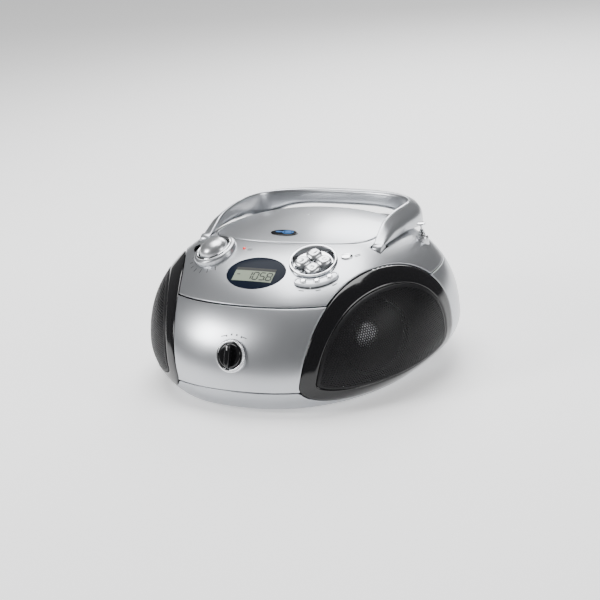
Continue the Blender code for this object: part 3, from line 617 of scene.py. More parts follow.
HANDLE_PIVOT = (-6.0, 112.6)
LEG_MIDDLE, GRIP_AT, CORNER_START, CORNER_FROM = 87.5, 109.0, 52.0, 0.4
SECTION_POWER, END_ROUND, HANDLE_EDGE_ANGLE = 0.55, 1.6, 46
handle_table = np.array([
    # share of the way to mid-grip, half width, underside, top, underside droop, top droop
    (0.00, 4.4, 116.6, 118.8, 1.2, 1.6),
    (0.06, 5.2, 119.0, 125.0, 3.5, 4.5),
    (0.14, 6.0, 120.2, 132.0, 5.0, 7.5),
    (0.24, 6.4, 120.4, 135.5, 5.5, 10.5),
    (0.34, 6.5, 119.8, 137.0, 5.5, 12.0),
    (0.44, 6.6, 117.0, 136.8, 6.0, 12.5),
    (0.54, 6.8, 111.5, 136.0, 5.0, 12.5),
    (0.62, 7.2, 109.0, 135.4, 3.0, 11.0),
    (0.70, 7.8, 111.5, 135.0, 2.0, 8.5),
    (0.78, 8.3, 115.0, 134.6, 1.0, 6.5),
    (0.88, 8.6, 117.0, 134.4, 0.5, 5.0),
    (1.00, 8.8, 117.4, 134.4, 0.0, 4.5)])


def smooth_columns(table, share):
    """Cubic Hermite through a table's rows, with slopes taken from each row's neighbours."""
    knots = table[:, 0]
    slopes = np.gradient(table[:, 1:], knots, axis=0)
    slot = np.clip(np.searchsorted(knots, share, side="right") - 1, 0, knots.size - 2)
    width = knots[slot + 1] - knots[slot]
    part = ((share - knots[slot]) / width)[:, None]
    width = width[:, None]
    low, high = table[slot, 1:], table[slot + 1, 1:]
    return ((1 + 2 * part) * (1 - part) ** 2 * low + part * (1 - part) ** 2 * width * slopes[slot]
            + part ** 2 * (3 - 2 * part) * high + part ** 2 * (part - 1) * width * slopes[slot + 1])


def handle_surface():
    """Sections carried along a straight leg, a superellipse corner (power 3) and half the grip.

    Each section is a superellipse whose top and underside droop outwards. The left half is mirrored.
    """
    share = np.concatenate([np.linspace(0, CORNER_FROM, 44, endpoint=False), np.linspace(CORNER_FROM, 1, 90)])
    columns = smooth_columns(handle_table, share).T
    half, low, high, low_droop, high_droop = (column[:, None] for column in columns)
    bend = np.clip((share - CORNER_FROM) / (1 - CORNER_FROM), 0, 1) * math.pi / 2
    sine, cosine = np.sin(bend), np.maximum(np.cos(bend), 0)
    depth = GRIP_AT - CORNER_START
    centre = np.stack([LEG_MIDDLE * cosine ** (2 / 3), CORNER_START + depth * sine ** (2 / 3)], axis=-1)
    leg = share < CORNER_FROM
    centre[leg, 1] = HANDLE_PIVOT[0] + (CORNER_START - HANDLE_PIVOT[0]) * share[leg] / CORNER_FROM
    across = np.stack([cosine ** (4 / 3) / LEG_MIDDLE, sine ** (4 / 3) / depth], axis=-1)
    across /= np.linalg.norm(across, axis=-1, keepdims=True)
    angle = np.linspace(0, 2 * math.pi, 56, endpoint=False) + 0.01
    out = np.sign(np.cos(angle)) * np.abs(np.cos(angle)) ** SECTION_POWER
    level = (np.sign(np.sin(angle)) * np.abs(np.sin(angle)) ** SECTION_POWER + 1) / 2
    height = low + (high - low) * level - (low_droop + (high_droop - low_droop) * level) * (out + 1) / 2
    plan = centre[:, None, :] + across[:, None, :] * (out * half)[..., None]
    right_half = np.concatenate([plan, height[..., None]], axis=-1)
    left_half = right_half[-2::-1] * (-1, 1, 1)
    grid = np.concatenate([right_half, left_half])
    caps = []
    for end, step in ((grid[0], -1), (grid[-1], 1)):
        middle = end.mean(axis=0)
        rows = [middle + (end - middle) * keep - np.array([0, END_ROUND * (1 - keep ** 2) ** 0.5, 0])
                for keep in (0.001, 0.4, 0.7, 0.9, 0.97)]
        caps.append(np.stack(rows if step < 0 else rows[::-1]))
    return np.concatenate([caps[0], grid, caps[1]])


def x_axis_place(x, y, z):
    """Frame whose out direction runs along +X."""
    return np.array([x, y, z], float), np.array([[0, 0, 1.0], [1.0, 0, 0], [0, 1.0, 0]])


def round_cutter(place, radius, reach=12, steps=96):
    """A closed round plug that cuts a hole through the case."""
    rows = [(0.001, -reach), (radius, -reach), (radius, reach), (0.001, reach)]
    return turned(rows, place, steps)


knuckle_rows = [(0.001, -4.8), (4.9, -4.8), (5.7, -4.5), (6.0, -3.8)]
knuckle_rows += [(radius, -along) for radius, along in knuckle_rows[::-1]]
POCKET_RADIUS, POCKET_HALF, KNUCKLE_STEPS = 8.2, 5.5, 48
pivots = [x_axis_place(side * LEG_MIDDLE, *HANDLE_PIVOT) for side in (-1, 1)]
knuckles = [turned(knuckle_rows, pivot, KNUCKLE_STEPS) for pivot in pivots]
cut_openings(top_case, [round_cutter(pivot, POCKET_RADIUS, POCKET_HALF, KNUCKLE_STEPS) for pivot in pivots])
make_piece("carrying_handle", [(handle_surface(), True)] + knuckles, "handle", ["handle"], silver_paint,
           sharp=HANDLE_EDGE_ANGLE)

# ---- Volume control ------------------------------------------------------------------------------------
# A satin silver dome turns inside a bright plated ring on a raised silver collar. Bars that grow
# with the loudness are printed on the case beside the collar in dark ink.

chrome = finish_material("chrome", (0.72, 0.73, 0.75), roughness=0.09, metallic=1.0, grain=0.02,
                         grain_size=0.001, mottle=0.02, wear=0.03)
satin_silver = finish_material("satin_silver", (0.62, 0.63, 0.65), roughness=0.3, metallic=0.9,
                               coat=0.15, grain=0.05, grain_size=0.0005, mottle=0.03, wear=0.03)
print_ink = finish_material("print_ink", (0.02, 0.02, 0.024), roughness=0.7, grain=0.2,
                            grain_size=0.0003, mottle=0.2, wear=0.1)
collar_rows = [(20.0, -2.0), (20.0, 1.6), (19.7, 2.7), (19.0, 3.5), (18.0, 4.0), (17.2, 4.1)]
VOLUME = frame_on_case((-55, -45.5, 40), (0, 0, 1))
cut_openings(top_case, [round_cutter(VOLUME, collar_rows[3][0])])
make_piece("volume_collar_ring", [turned(collar_rows, VOLUME, 120)], "chassis", ["volume_collar"],
           silver_paint)
plated_rows = [(17.2, 3.0), (17.2, 4.1)] + arc((15.9, 4.0), 1.3, 0, 180, 12) + [(14.6, 2.0), (14.6, -3.0)]
make_piece("volume_plated_ring", [turned(plated_rows, VOLUME, 120)], "chassis", [], chrome)
DOME_RADIUS, DOME_FOOT, DOME_RISE = 13.8, 2.2, 9.8
dome = [(DOME_RADIUS - 0.3, -1.0), (DOME_RADIUS, 0.6), (DOME_RADIUS, DOME_FOOT)]
dome += [(DOME_RADIUS * math.cos(bend) ** 0.8, DOME_FOOT + DOME_RISE * math.sin(bend))
         for bend in np.linspace(0.06, 1.5, 26)]
dome += [(0.001, DOME_FOOT + DOME_RISE)]
make_piece("volume_dome", [turned(dome, VOLUME, 96)], "volume", ["volume_knob"], satin_silver)


def mark_on_case(place, centre, half_long, half_wide, swing, lift=0.06):
    """A small printed bar, laid on the case along a frame's outward direction."""
    spot, turn = place
    long = np.linspace(-half_long, half_long, 5)[:, None]
    wide = np.array([-half_wide, half_wide])[None, :]
    across = centre[0] + long * math.cos(swing) - wide * math.sin(swing)
    along = centre[1] + long * math.sin(swing) + wide * math.cos(swing)
    flat = np.stack(np.broadcast_arrays(across, along, -8.0), axis=-1) @ turn.T + spot
    out = turn[:, 2]
    reach = crossing(lambda far: case_excess(flat + far[..., None] * out), np.zeros(flat.shape[:-1]),
                     np.full(flat.shape[:-1], 30.0))
    return flat + (reach[..., None] + lift) * out, False


MARKS_FROM, MARK_STEP, MARK_RADIUS = 196, 18, 23.0
volume_marks = []
for step in range(8):
    swing = math.radians(MARKS_FROM + MARK_STEP * step)
    long = 1.0 + 0.22 * step
    middle = MARK_RADIUS + long
    centre = (middle * math.cos(swing), middle * math.sin(swing))
    volume_marks.append(mark_on_case(VOLUME, centre, long, 0.4, swing))
make_piece("volume_marks", volume_marks, "chassis", [], print_ink)

# ---- Display -----------------------------------------------------------------------------------------
# A dark oval acrylic window, flush with the case. Behind it a grey-green liquid crystal panel
# shows a plain number under a dark header strip.

window_acrylic = finish_material("window_acrylic", (0.008, 0.012, 0.022), roughness=0.2, grain=0.01,
                                 grain_size=0.002, mottle=0.1, wear=0.02, shine=0.04)
crystal_green = finish_material("crystal_green", (0.27, 0.31, 0.24), roughness=0.4, grain=0.05,
                                grain_size=0.0004, mottle=0.06, wear=0.04, shine=0.1)
segment_black = finish_material("segment_black", (0.01, 0.012, 0.01), roughness=0.6, grain=0.05,
                                grain_size=0.0004, mottle=0.1, wear=0.05)
header_dark = finish_material("header_dark", (0.006, 0.008, 0.006), roughness=0.6, grain=0.05,
                              grain_size=0.0004, mottle=0.1, wear=0.05)
DISPLAY = frame_on_case((0, -71, 40), (0, 0, 1))
DISPLAY_HALF = (28.5, 18.5)
display_spot, display_turn = DISPLAY


def on_display(across, along, lift):
    """Points over the window, following the case's own curve."""
    across, along = np.broadcast_arrays(np.asarray(across, float), np.asarray(along, float))
    flat = np.stack([across, along, np.full(across.shape, -8.0)], axis=-1) @ display_turn.T + display_spot
    out = display_turn[:, 2]
    reach = crossing(lambda far: case_excess(flat + far[..., None] * out), np.zeros(across.shape),
                     np.full(across.shape, 30.0))
    return flat + (reach + lift)[..., None] * out


window_angle = np.linspace(0, 2 * math.pi, 128, endpoint=False)[None, :]
window_rows = np.array([(0.0, -3.0), (0.0, -0.5), (0.2, -0.12), (0.6, 0.05), (2.0, 0.12), (5.0, 0.2),
                        (10.0, 0.25), (16.0, 0.3), (22.0, 0.32), (28.4, 0.33)])
inset, lift = window_rows[:, :1], window_rows[:, 1:]
share = (DISPLAY_HALF[0] - inset) / DISPLAY_HALF[0]
window_across = share * DISPLAY_HALF[0] * np.cos(window_angle)
window_along = share * DISPLAY_HALF[1] * np.sin(window_angle)
window_grid = on_display(window_across, window_along, np.broadcast_to(lift, window_across.shape))


def oval_cutter(half_x, half_y, place, power=2.0, reach=12, steps=96):
    """A closed oval plug that cuts a hole through the case."""
    shut = half_x - 0.001
    rows = [(shut, -reach), (0, -reach), (0, reach), (shut, reach)]
    return ellipse_stack(half_x, half_y, rows, place, power, steps)


WINDOW_GAP = 0.25
cut_openings(top_case, [oval_cutter(DISPLAY_HALF[0] + WINDOW_GAP, DISPLAY_HALF[1] + WINDOW_GAP, DISPLAY)])
make_piece("display_glass", [(window_grid, True)], "chassis", ["display_window"], window_acrylic)


def display_patch(middle, half, lift, steps=12):
    """A rectangle laid on the window."""
    across = middle[0] + half[0] * np.linspace(-1, 1, steps)[None, :]
    along = middle[1] + half[1] * np.linspace(-1, 1, 4)[:, None]
    return on_display(across, along, np.full((4, steps), lift)), False


PANEL_LIFT, DIGIT_LIFT = 0.38, 0.44
panel = display_patch((-0.5, -4.6), (19.5, 5.9), PANEL_LIFT)
make_piece("crystal_panel", [panel], "chassis", [], crystal_green)
header = display_patch((-0.5, 3.0), (19.5, 1.7), PANEL_LIFT)
make_piece("display_header", [header], "chassis", [], header_dark)
SEGMENTS = {"1": "bc", "0": "abcdef", "8": "abcdefg", "5": "acdfg"}
DIGIT_WIDTH, DIGIT_HEIGHT, SEGMENT_HALF, SEGMENT_GAP = 4.6, 8.0, 0.6, 0.3
DIGITS_LEFT, DIGITS_FOOT, DIGIT_PITCH = -7.0, -8.4, 6.6
segment_lines = {"a": ((0, 1), (1, 1)), "b": ((1, 1), (1, 0.5)), "c": ((1, 0.5), (1, 0)),
                 "d": ((0, 0), (1, 0)), "e": ((0, 0), (0, 0.5)), "f": ((0, 0.5), (0, 1)),
                 "g": ((0, 0.5), (1, 0.5))}
segments = []
for place_number, digit in enumerate("1058"):
    left = DIGITS_LEFT + place_number * DIGIT_PITCH
    for letter in SEGMENTS[digit]:
        (x_low, y_low), (x_high, y_high) = segment_lines[letter]
        middle = (left + DIGIT_WIDTH * (x_low + x_high) / 2,
                  DIGITS_FOOT + DIGIT_HEIGHT * (y_low + y_high) / 2)
        half = (max(DIGIT_WIDTH * abs(x_high - x_low) / 2 - SEGMENT_GAP, SEGMENT_HALF),
                max(DIGIT_HEIGHT * abs(y_high - y_low) / 2 - SEGMENT_GAP, SEGMENT_HALF))
        segments.append(display_patch(middle, half, DIGIT_LIFT, 3))
segments.append(display_patch((11.6, -8.2), (0.5, 0.5), DIGIT_LIFT, 3))
segments.append(display_patch((-15.5, -3.4), (1.6, 0.45), DIGIT_LIFT, 3))
make_piece("display_digits", segments, "chassis", [], segment_black)

# ---- Disc keys -------------------------------------------------------------------------------------
# Four plated petal keys with thumb dimples in a plated dish, and three small round keys in a curved
# strip below. Each is a capped ABS plunger that springs back.

CLUSTER = frame_on_case((46.5, -51, 40), (0, 0, 1))
PROGRAM = frame_on_case((71, -35, 40), (0, 0, 1))
LAMP = frame_on_case((-26, -43, 40), (0, 0, 1))
dish_rows = [(21.0, -3.0), (21.0, 0.8), (20.8, 1.5), (20.3, 2.1), (19.6, 2.2), (19.0, 1.9), (18.4, 0.6),
             (17.9, -1.4), (17.2, -2.6), (16.0, -3.0), (0.001, -3.0)]
DISH_GAP = 0.2
cut_openings(top_case, [round_cutter(CLUSTER, dish_rows[0][0] + DISH_GAP)])
make_piece("key_dish", [turned(dish_rows, CLUSTER, 120)], "chassis", ["cd_button_well"], chrome)
KEY_DISTANCE, KEY_HALF = 9.2, 6.2
cluster_spot, cluster_turn = CLUSTER


def place_in(place, across, along, swing=0.0, lift=0.0):
    """A frame moved and turned within another control's plane."""
    spot, turn = place
    sine, cosine = math.sin(swing), math.cos(swing)
    spin = np.array([[cosine, -sine, 0], [sine, cosine, 0], [0, 0, 1.0]])
    return spot + turn @ np.array([across, along, lift]), turn @ spin


def petal_key(degrees):
    """A rounded square of power 3 on its corner, with a round thumb dimple just off its middle.

    Height is 3.2 less 2.2 times share^3.5, less 1.1 times exp(-distance^2 / 7) from the dimple.
    """
    swing = math.radians(degrees)
    place = place_in(CLUSTER, KEY_DISTANCE * math.cos(swing), KEY_DISTANCE * math.sin(swing), swing)
    spot, turn = place
    angle = np.linspace(0, 2 * math.pi, 64, endpoint=False)[None, :]
    share = np.concatenate([[1.0, 1.0, 0.995, 0.975, 0.93], np.linspace(0.88, 0.001, 14)])[:, None]
    tilted = angle - math.pi / 4
    radius = KEY_HALF / (np.abs(np.cos(tilted)) ** 3 + np.abs(np.sin(tilted)) ** 3) ** (1 / 3)
    across, along = share * radius * np.cos(angle), share * radius * np.sin(angle)
    height = 3.2 - 2.2 * share ** 3.5
    height = height - 1.1 * np.exp(-((across - 1.2) ** 2 + along ** 2) / 7.0)
    height[0] = -1.6
    grid = np.stack(np.broadcast_arrays(across, along, height), axis=-1)
    return grid @ turn.T + spot, True


for key_name, degrees in (("stop", -90), ("back", 180), ("play", 90), ("skip", 0)):
    button = key_name + "_button"
    make_piece(key_name + "_petal_key", [petal_key(degrees)], button + "_body", [button], satin_silver)

STRIP_RADIUS, STRIP_HALF = 27.0, 3.7
STRIP_START, STRIP_END = math.radians(-114), math.radians(-44)


def ring_points(centre, radius, angle):
    """(across, along) points at a radius round a centre."""
    return np.stack([centre[0] + radius * np.cos(angle), centre[1] + radius * np.sin(angle)], axis=-1)


def strip_stack(rows):
    """Nested outlines of a curved bar with round ends, at (inset, height) rows."""
    sweep = np.linspace(STRIP_START, STRIP_END, 40)
    cap = np.linspace(0, math.pi, 14)[1:-1]
    start, end = ring_points((0, 0), STRIP_RADIUS, np.array([STRIP_START, STRIP_END]))
    grids = []
    for inset, height in rows:
        half = STRIP_HALF - inset
        ring = np.concatenate([ring_points((0, 0), STRIP_RADIUS + half, sweep),
                               ring_points(end, half, STRIP_END + cap),
                               ring_points((0, 0), STRIP_RADIUS - half, sweep[::-1]),
                               ring_points(start, half, STRIP_START + math.pi + cap)])
        grids.append(np.concatenate([ring, np.full((ring.shape[0], 1), height)], axis=-1))
    return np.stack(grids) @ cluster_turn.T + cluster_spot, True


strip_rows = [(0, -2.6), (0, 0.3), (0.25, 0.75), (0.7, 0.9), (1.2, 0.75), (1.6, 0.4), (3.69, 0.3)]
cut_openings(top_case, [strip_stack([(3.699, -10), (-0.25, -10), (-0.25, 8), (3.699, 8)])])
make_piece("key_strip_bar", [strip_stack(strip_rows)], "chassis", ["key_strip"], silver_paint)
small_key = [(2.6, -1.0), (2.6, 1.3), (2.45, 1.8), (2.1, 2.15), (1.5, 2.32), (0.8, 2.2), (0.001, 2.1)]
small_keys = {"repeat": -104, "mode": -79, "album": -54}
for key_name, degrees in small_keys.items():
    swing = math.radians(degrees)
    spot = place_in(CLUSTER, STRIP_RADIUS * math.cos(swing), STRIP_RADIUS * math.sin(swing))
    key = key_name + "_key"
    make_piece(key_name + "_round_key", [turned(small_key, spot, 48)], key + "_body", [key], chrome)
make_piece("program_oval_key", [ellipse_stack(5.2, 3.3, dome_rows(5.2, -2.0, 1.2, 1.6, 0.7), PROGRAM)],
           "program_button_body", ["program_button"], chrome)

KEY_MARK_RADIUS = 34.0
key_marks = []
for degrees in small_keys.values():
    swing = math.radians(degrees)
    centre = (KEY_MARK_RADIUS * math.cos(swing), KEY_MARK_RADIUS * math.sin(swing))
    key_marks.append(mark_on_case(CLUSTER, centre, 2.3, 0.42, swing + math.pi / 2))
for offset in (0.0, 1.6):
    key_marks.append(mark_on_case(PROGRAM, (9.5, -1.2 + offset), 2.8, 0.36, 0.25))
    key_marks.append(mark_on_case(LAMP, (6.5, -1.0 + offset), 2.2, 0.32, 0.1))
make_piece("key_marks", key_marks, "chassis", [], print_ink)

# ---- USB socket and lamp --------------------------------------------------------------------------------
# A gloss black surround holds the socket, with a white moulded tongue inside. A red lens beside the
# volume control lights for stereo. Both are pushed into the top from inside.

socket_shape = [(0.0, -2.5), (0.0, 0.1), (0.3, 0.5), (0.9, 0.6), (1.35, 0.4), (1.5, 0.0), (1.5, -9.0)]
USB = frame_on_case((-82, -32, 40), (0, 0, 1))
SOCKET_HALF, SOCKET_GAP, SOCKET_POWER = (7.8, 4.1), 0.25, 3.2
socket_hole = oval_cutter(SOCKET_HALF[0] + SOCKET_GAP, SOCKET_HALF[1] + SOCKET_GAP, USB, SOCKET_POWER)
cut_openings(top_case, [socket_hole])
make_piece("usb_surround", [ellipse_stack(*SOCKET_HALF, socket_shape, USB, SOCKET_POWER)], "chassis",
           ["usb_socket"], gloss_black)
tongue_white = finish_material("tongue_white", (0.75, 0.76, 0.76), roughness=0.4, grain=0.1,
                               grain_size=0.0005, mottle=0.05, wear=0.05)
tongue_shape = [(0, -8), (0, -2.2), (0.3, -2.0), (4.79, -2.0)]
make_piece("usb_tongue", [ellipse_stack(4.8, 0.8, tongue_shape, USB, 8, middle=(0, 0.7))], "chassis", [],
           tongue_white)
lamp_red = finish_material("lamp_red", (0.75, 0.02, 0.02), roughness=0.12, coat=0.6, grain=0.02,
                           grain_size=0.001, mottle=0.05, wear=0.03, glow=((1, 0.05, 0.03, 1), 0.6))
lamp_rows = [(1.5, -1.0), (1.5, 0.2), (1.38, 0.7), (1.0, 1.1), (0.5, 1.27), (0.001, 1.3)]
make_piece("stereo_lens", [turned(lamp_rows, LAMP, 32)], "chassis", ["stereo_led"], lamp_red)

# ---- Function knob -----------------------------------------------------------------------------------
# A black knob with a raised grip bar clicks round inside a plated bezel whose rim is finely ribbed.
# Four dots and two short bars printed on the panel mark its stops.


def ribbed_ring(rows, place, ribs=60, depth=0.22):
    """A turned ring whose outer rows are waved: radius plus depth times cos(ribs times angle)."""
    rows = np.asarray(rows, float)
    angle = np.linspace(0, 2 * math.pi, ribs * 6, endpoint=False)[None, :]
    radius = rows[:, :1] + rows[:, 2:] * depth * (np.cos(ribs * angle) - 1)
    across, along = radius * np.cos(angle), radius * np.sin(angle)
    grid = np.stack(np.broadcast_arrays(across, along, rows[:, 1:2]), axis=-1)
    spot, turn = place
    return grid @ turn.T + spot, True


MODE = frame_on_case((0, -40, 52), (0, -1, 0))
bezel_rows = [(14.5, -2.0, 0), (14.5, 0.4, 0), (14.4, 0.9, 0), (13.9, 1.1, 0), (13.8, 1.3, 1),
              (13.6, 2.6, 1), (13.2, 3.2, 0.6), (12.7, 3.4, 0), (12.1, 3.4, 0), (11.6, 3.1, 0),
              (11.3, 2.4, 0), (11.2, -3.0, 0)]
make_piece("function_bezel", [ribbed_ring(bezel_rows, MODE)], "chassis", ["mode_bezel"], chrome)
knob_rows = [(10.8, -1.0), (10.8, 2.6), (10.6, 3.4), (10.0, 4.0), (9.0, 4.2), (7.6, 3.9), (5.0, 3.4),
             (0.001, 3.2)]
grip_rows = [(0, 2.6), (0, 7.2), (0.12, 8.1), (0.4, 8.7), (0.8, 8.95), (2.39, 9.0)]
grip_bar = ellipse_stack(2.4, 10.2, grip_rows, MODE, 3.4)
make_piece("function_knob", [turned(knob_rows, MODE, 96), grip_bar], "mode", ["mode_knob"], gloss_black)
knob_white = finish_material("knob_white", (0.75, 0.75, 0.76), roughness=0.4, grain=0.1,
                             grain_size=0.0005, mottle=0.05, wear=0.05)
pointer = ellipse_stack(0.35, 2.0, [(0, 8.8), (0, 9.03), (0.34, 9.04)], MODE, 4, middle=(0, 6.6))
make_piece("function_pointer", [pointer], "mode", [], knob_white)
STOP_RADIUS, DOT_HALF = 18.2, 0.75
BAR_ACROSS, BAR_ALONG, BAR_TILT = 10.5, 16.2, math.radians(14)
stop_marks = []
for degrees in (66, 82, 98, 114):
    swing = math.radians(degrees)
    centre = (STOP_RADIUS * math.cos(swing), STOP_RADIUS * math.sin(swing))
    stop_marks.append(mark_on_case(MODE, centre, DOT_HALF, DOT_HALF, swing))
for side in (-1, 1):
    stop_marks.append(mark_on_case(MODE, (side * BAR_ACROSS, BAR_ALONG), 2.2, 0.34, -side * BAR_TILT))
make_piece("function_stop_marks", stop_marks, "chassis", [], print_ink)

# ---- Telescopic antenna --------------------------------------------------------------------------------
# Three plated brass tubes and a thin rod slide inside a fixed silver sleeve, one within the next. The
# rod ends in a flat cap that stands above the rest.

ANTENNA_TOP = 109.8
ANTENNA = (np.array([103.5, 50.0, 0.0]), np.eye(3))
ANTENNA_FOOT = 14.0
sleeve_drops = [(4.4, 16), (4.4, 9.6), (5.8, 8.5), (5.8, 2.6), (5.6, 1.6), (5.0, 0.4), (4.6, 0),
                (3.5, 0), (3.4, 4)]
sleeve_rows = [(radius, ANTENNA_TOP - drop) for radius, drop in sleeve_drops]
make_piece("antenna_sleeve", [turned(sleeve_rows, ANTENNA, 64)], "chassis", ["antenna_base"], satin_silver)
for number, (outer, inner, top) in enumerate(((3.1, 2.6, 2.0), (2.3, 1.9, 4.0), (1.6, 1.25, 5.8)), 1):
    crest = ANTENNA_TOP + top
    tube_rows = [(inner, ANTENNA_FOOT), (outer, ANTENNA_FOOT), (outer, crest - 0.5),
                 (outer - 0.15, crest - 0.12), ((outer + inner) / 2, crest), (inner + 0.02, crest - 0.2),
                 (inner, crest - 2.5)]
    make_piece(f"antenna_tube_{number}", [turned(tube_rows, ANTENNA, 48)], f"antenna_{number}",
               [f"antenna_section_{number}"], chrome)
cap = ANTENNA_TOP + 10.1
tip_rises = [(0.95, -0.5), (1.3, -0.1), (3.5, 0), (3.8, 0.3), (3.8, 1.1), (3.5, 1.5), (2.0, 1.7),
             (0.001, 1.8)]
tip_rows = [(0.001, ANTENNA_FOOT), (0.95, ANTENNA_FOOT)]
tip_rows += [(radius, cap + rise) for radius, rise in tip_rises]
make_piece("antenna_tip_rod", [turned(tip_rows, ANTENNA, 48)], "antenna_4", ["antenna_section_4"], chrome)

# ---- Feet, disc mechanism and parts seen inside ----------------------------------------------------------
# Rubber feet glued in the base, the disc mechanism under the lid, and the board, pins and battery bay
# keep their solids' shapes and get their own finishes.

foot_rubber = finish_material("foot_rubber", (0.02, 0.02, 0.021), roughness=0.7, grain=0.4,
                              grain_size=0.0005, mottle=0.2, wear=0.1)
well_black = finish_material("well_black", (0.025, 0.025, 0.027), roughness=0.42, grain=0.3,
                             grain_size=0.0006, mottle=0.12, wear=0.08)
board_green = finish_material("board_green", (0.02, 0.16, 0.06), roughness=0.4, coat=0.3, grain=0.1,
                              grain_size=0.0008, mottle=0.2, wear=0.1)
hub_grey = finish_material("hub_grey", (0.12, 0.12, 0.13), roughness=0.35, grain=0.1, grain_size=0.0006,
                           mottle=0.08, wear=0.05)
for nodes, finish in (
        (("cd_well", "battery_bay", "mains_inlet", "mode_switch"), well_black),
        (("left_baffle", "right_baffle"), baffle_black),
        (("left_speaker_frame", "right_speaker_frame", "mains_transformer", "spindle_motor", "volume_pot",
          "sled_rod", "left_handle_pin", "right_handle_pin", "lid_hinge_pin"), pressed_steel),
        (("front_left_foot", "front_right_foot", "rear_left_foot", "rear_right_foot"), foot_rubber),
        (("cd_hub", "laser_sled", "sled_gear"), hub_grey),
        (("main_board",), board_green),
        (("lcd_panel",), crystal_green),
        (("battery_door",), base_paint)):
    for node in nodes:
        for slot in bpy.data.objects[node].material_slots:
            slot.material = finish

# ---- Rear slots, inlet pins, screws, rating plate and door ribs -------------------------------------------
# The rear panel is moulded with two rows of air slots and a mouth for the black mains inlet, whose two
# pins are steel. Four steel screws sit in round seats. A plain plate and the door's ribs have no words.

REAR_START, INSIDE = 106.0, 20.0
INLET_AT, INLET_HALF, PIN_ACROSS = (-60, 33), (8.9, 6.9), 2.6


def rear_place(across, height):
    """A frame on the rear panel, looking straight back."""
    return np.array([across, REAR_START, height]), np.array([[-1.0, 0, 0], [0, 0, 1.0], [0, 1.0, 0]])


SLOT_HALF, SLOTS_FROM, SLOT_PITCH, SLOT_ROWS = (1.1, 7.5), 16, 5.2, (48, 67)
rear_cuts = [oval_cutter(*INLET_HALF, rear_place(*INLET_AT), 12, 30)]
for column in range(9):
    for height in SLOT_ROWS:
        place = rear_place(SLOTS_FROM + SLOT_PITCH * column, height)
        rear_cuts.append(oval_cutter(*SLOT_HALF, place, 6, 30, 32))
cut_openings(rear_case, rear_cuts)

screw_steel = finish_material("screw_steel", (0.16, 0.16, 0.17), roughness=0.35, metallic=1.0,
                              grain=0.15, grain_size=0.0004, mottle=0.1, wear=0.06)
seat_rows = [(4.6, -0.4), (4.6, 0.15), (4.3, 0.35), (3.6, 0.4), (3.2, 0.2), (3.1, -0.2)]
head_rows = [(3.1, -0.5), (3.0, -0.05), (2.4, 0.12), (1.1, 0.16), (1.0, -0.35), (0.001, -0.35)]
for number, (across, height) in enumerate(((-78, 72), (78, 72), (-40, 32), (78, 34)), 1):
    place = frame_on_case((across, INSIDE, height), (0, 1, 0))
    make_piece(f"screw_seat_{number}", [turned(seat_rows, place, 40)], "chassis", [], silver_paint)
    make_piece(f"case_screw_{number}", [turned(head_rows, place, 40)], "chassis", [], screw_steel)

pin_rows = [(0, -8), (0, 0), (0.3, 0.6), (0.99, 0.8)]
inlet_place = rear_place(*INLET_AT)
pins = [ellipse_stack(1.0, 1.0, pin_rows, place_in(inlet_place, across, 0), 2, 24)
        for across in (-PIN_ACROSS, PIN_ACROSS)]
make_piece("inlet_pins", pins, "chassis", [], pressed_steel)

rating_label = finish_material("rating_label", (0.62, 0.63, 0.64), roughness=0.45, metallic=0.3,
                               grain=0.05, grain_size=0.0006, mottle=0.05, wear=0.05)
PLATE_THICK = 0.06
plate_across, plate_height = np.meshgrid(np.linspace(-26, 6, 24), np.linspace(26, 44, 14))
plate_start = np.stack([plate_across, np.full(plate_across.shape, INSIDE), plate_height], axis=-1)
plate = onto_case(plate_start, (0, 1, 0))
make_piece("rating_plate", [(plate + PLATE_THICK * case_normals(plate), False)], "chassis", [], rating_label)

RIB_HALF, RIB_PITCH, FIRST_RIB = (14, 0.8), 3.2, (10.0, 72.0)
rib_rows = [(0, -0.5), (0, 0.35), (0.3, 0.6), (13.99, 0.6)]
facing_down = np.diag([1.0, -1.0, -1.0])
ribs = [ellipse_stack(*RIB_HALF, rib_rows, (np.array([FIRST_RIB[0], FIRST_RIB[1] + RIB_PITCH * row, FLOOR]),
                                            facing_down), 6, 48) for row in range(4)]
make_piece("battery_door_ribs", ribs, "battery_door", [], base_paint)

# ---- Floor, light and camera ------------------------------------------------------------------
# A plain pale floor that glows a little to thin out the shadow, four square soft boxes, and a long
# lens that looks down on the set from its right front.

floor_paint = finish_material("floor_paint", (0.94, 0.94, 0.945), roughness=0.6, mottle=0.0, wear=0.0,
                              glow=((1, 1, 1, 1), 0.55))
FLOOR_HALF, WORLD_STRENGTH = 6, 0.14
floor_mesh = bpy.data.meshes.new("floor")
floor_corners = [(x * FLOOR_HALF, y * FLOOR_HALF, 0) for x, y in ((-1, -1), (1, -1), (1, 1), (-1, 1))]
floor_mesh.from_pydata(floor_corners, [], [(0, 1, 2, 3)])
floor_mesh.materials.append(floor_paint)
floor = bpy.data.objects.new("floor", floor_mesh)
bpy.context.scene.collection.objects.link(floor)

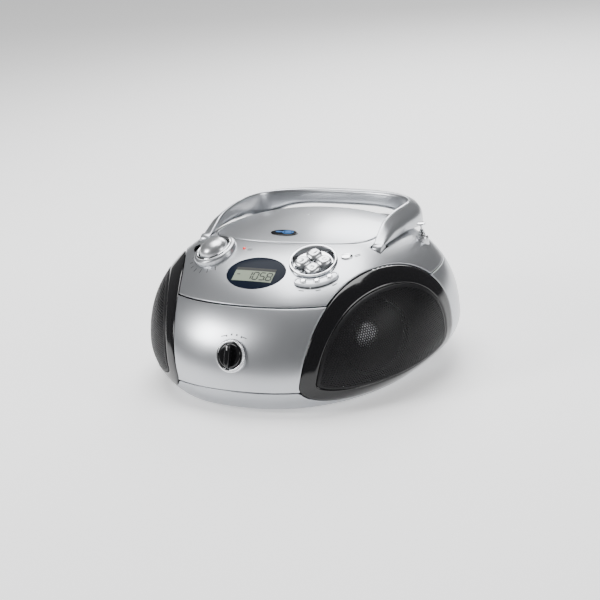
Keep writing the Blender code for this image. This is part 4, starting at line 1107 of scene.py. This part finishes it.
world = bpy.data.worlds.new("studio")
world.use_nodes = True
world.node_tree.nodes["Background"].inputs["Color"].default_value = (1, 1, 1, 1)
world.node_tree.nodes["Background"].inputs["Strength"].default_value = WORLD_STRENGTH
bpy.context.scene.world = world


def soft_light(name, spot, aim, size, power):
    """A square soft box that points at the set."""
    lamp = bpy.data.lights.new(name, "AREA")
    lamp.shape = "SQUARE"
    lamp.size = size
    lamp.energy = power
    holder = bpy.data.objects.new(name, lamp)
    bpy.context.scene.collection.objects.link(holder)
    turn = (Vector(aim) - Vector(spot)).to_track_quat("-Z", "Y").to_matrix().to_4x4()
    holder.matrix_world = Matrix.Translation(spot) @ turn


soft_light("overhead", spot=(-0.25, 0.35, 1.5), aim=(0, 0, 0), size=1.1, power=34)
soft_light("front_left", spot=(-1.1, -1.0, 0.9), aim=(0, 0, 0.06), size=0.45, power=16)
soft_light("right_side", spot=(1.5, -0.1, 0.7), aim=(0, 0, 0.06), size=0.6, power=10)
soft_light("back_edge", spot=(-0.3, 1.3, 0.9), aim=(0, 0, 0.08), size=0.7, power=14)

AZIMUTH, ELEVATION, ROLL_ANGLE = math.radians(30), math.radians(19), math.radians(6)
DISTANCE, LENS, SENSOR = 1.5, 99.0, 36.0
AIM = np.array([0.0, FOOTPRINT_SHIFT * MM, 0.058])
back = np.array([math.sin(AZIMUTH) * math.cos(ELEVATION), -math.cos(AZIMUTH) * math.cos(ELEVATION),
                 math.sin(ELEVATION)])
right = np.array([math.cos(AZIMUTH), math.sin(AZIMUTH), 0])
up = np.cross(back, right)
rolled_right = math.cos(ROLL_ANGLE) * right - math.sin(ROLL_ANGLE) * up
rolled_up = math.sin(ROLL_ANGLE) * right + math.cos(ROLL_ANGLE) * up
camera_data = bpy.data.cameras.new("camera")
camera_data.sensor_width = SENSOR
camera_data.lens = LENS
camera = bpy.data.objects.new("camera", camera_data)
bpy.context.scene.collection.objects.link(camera)
placed = np.eye(4)
placed[:3, 0], placed[:3, 1], placed[:3, 2] = rolled_right, rolled_up, back
placed[:3, 3] = AIM + DISTANCE * back
camera.matrix_world = Matrix(placed.tolist())
bpy.context.scene.camera = camera
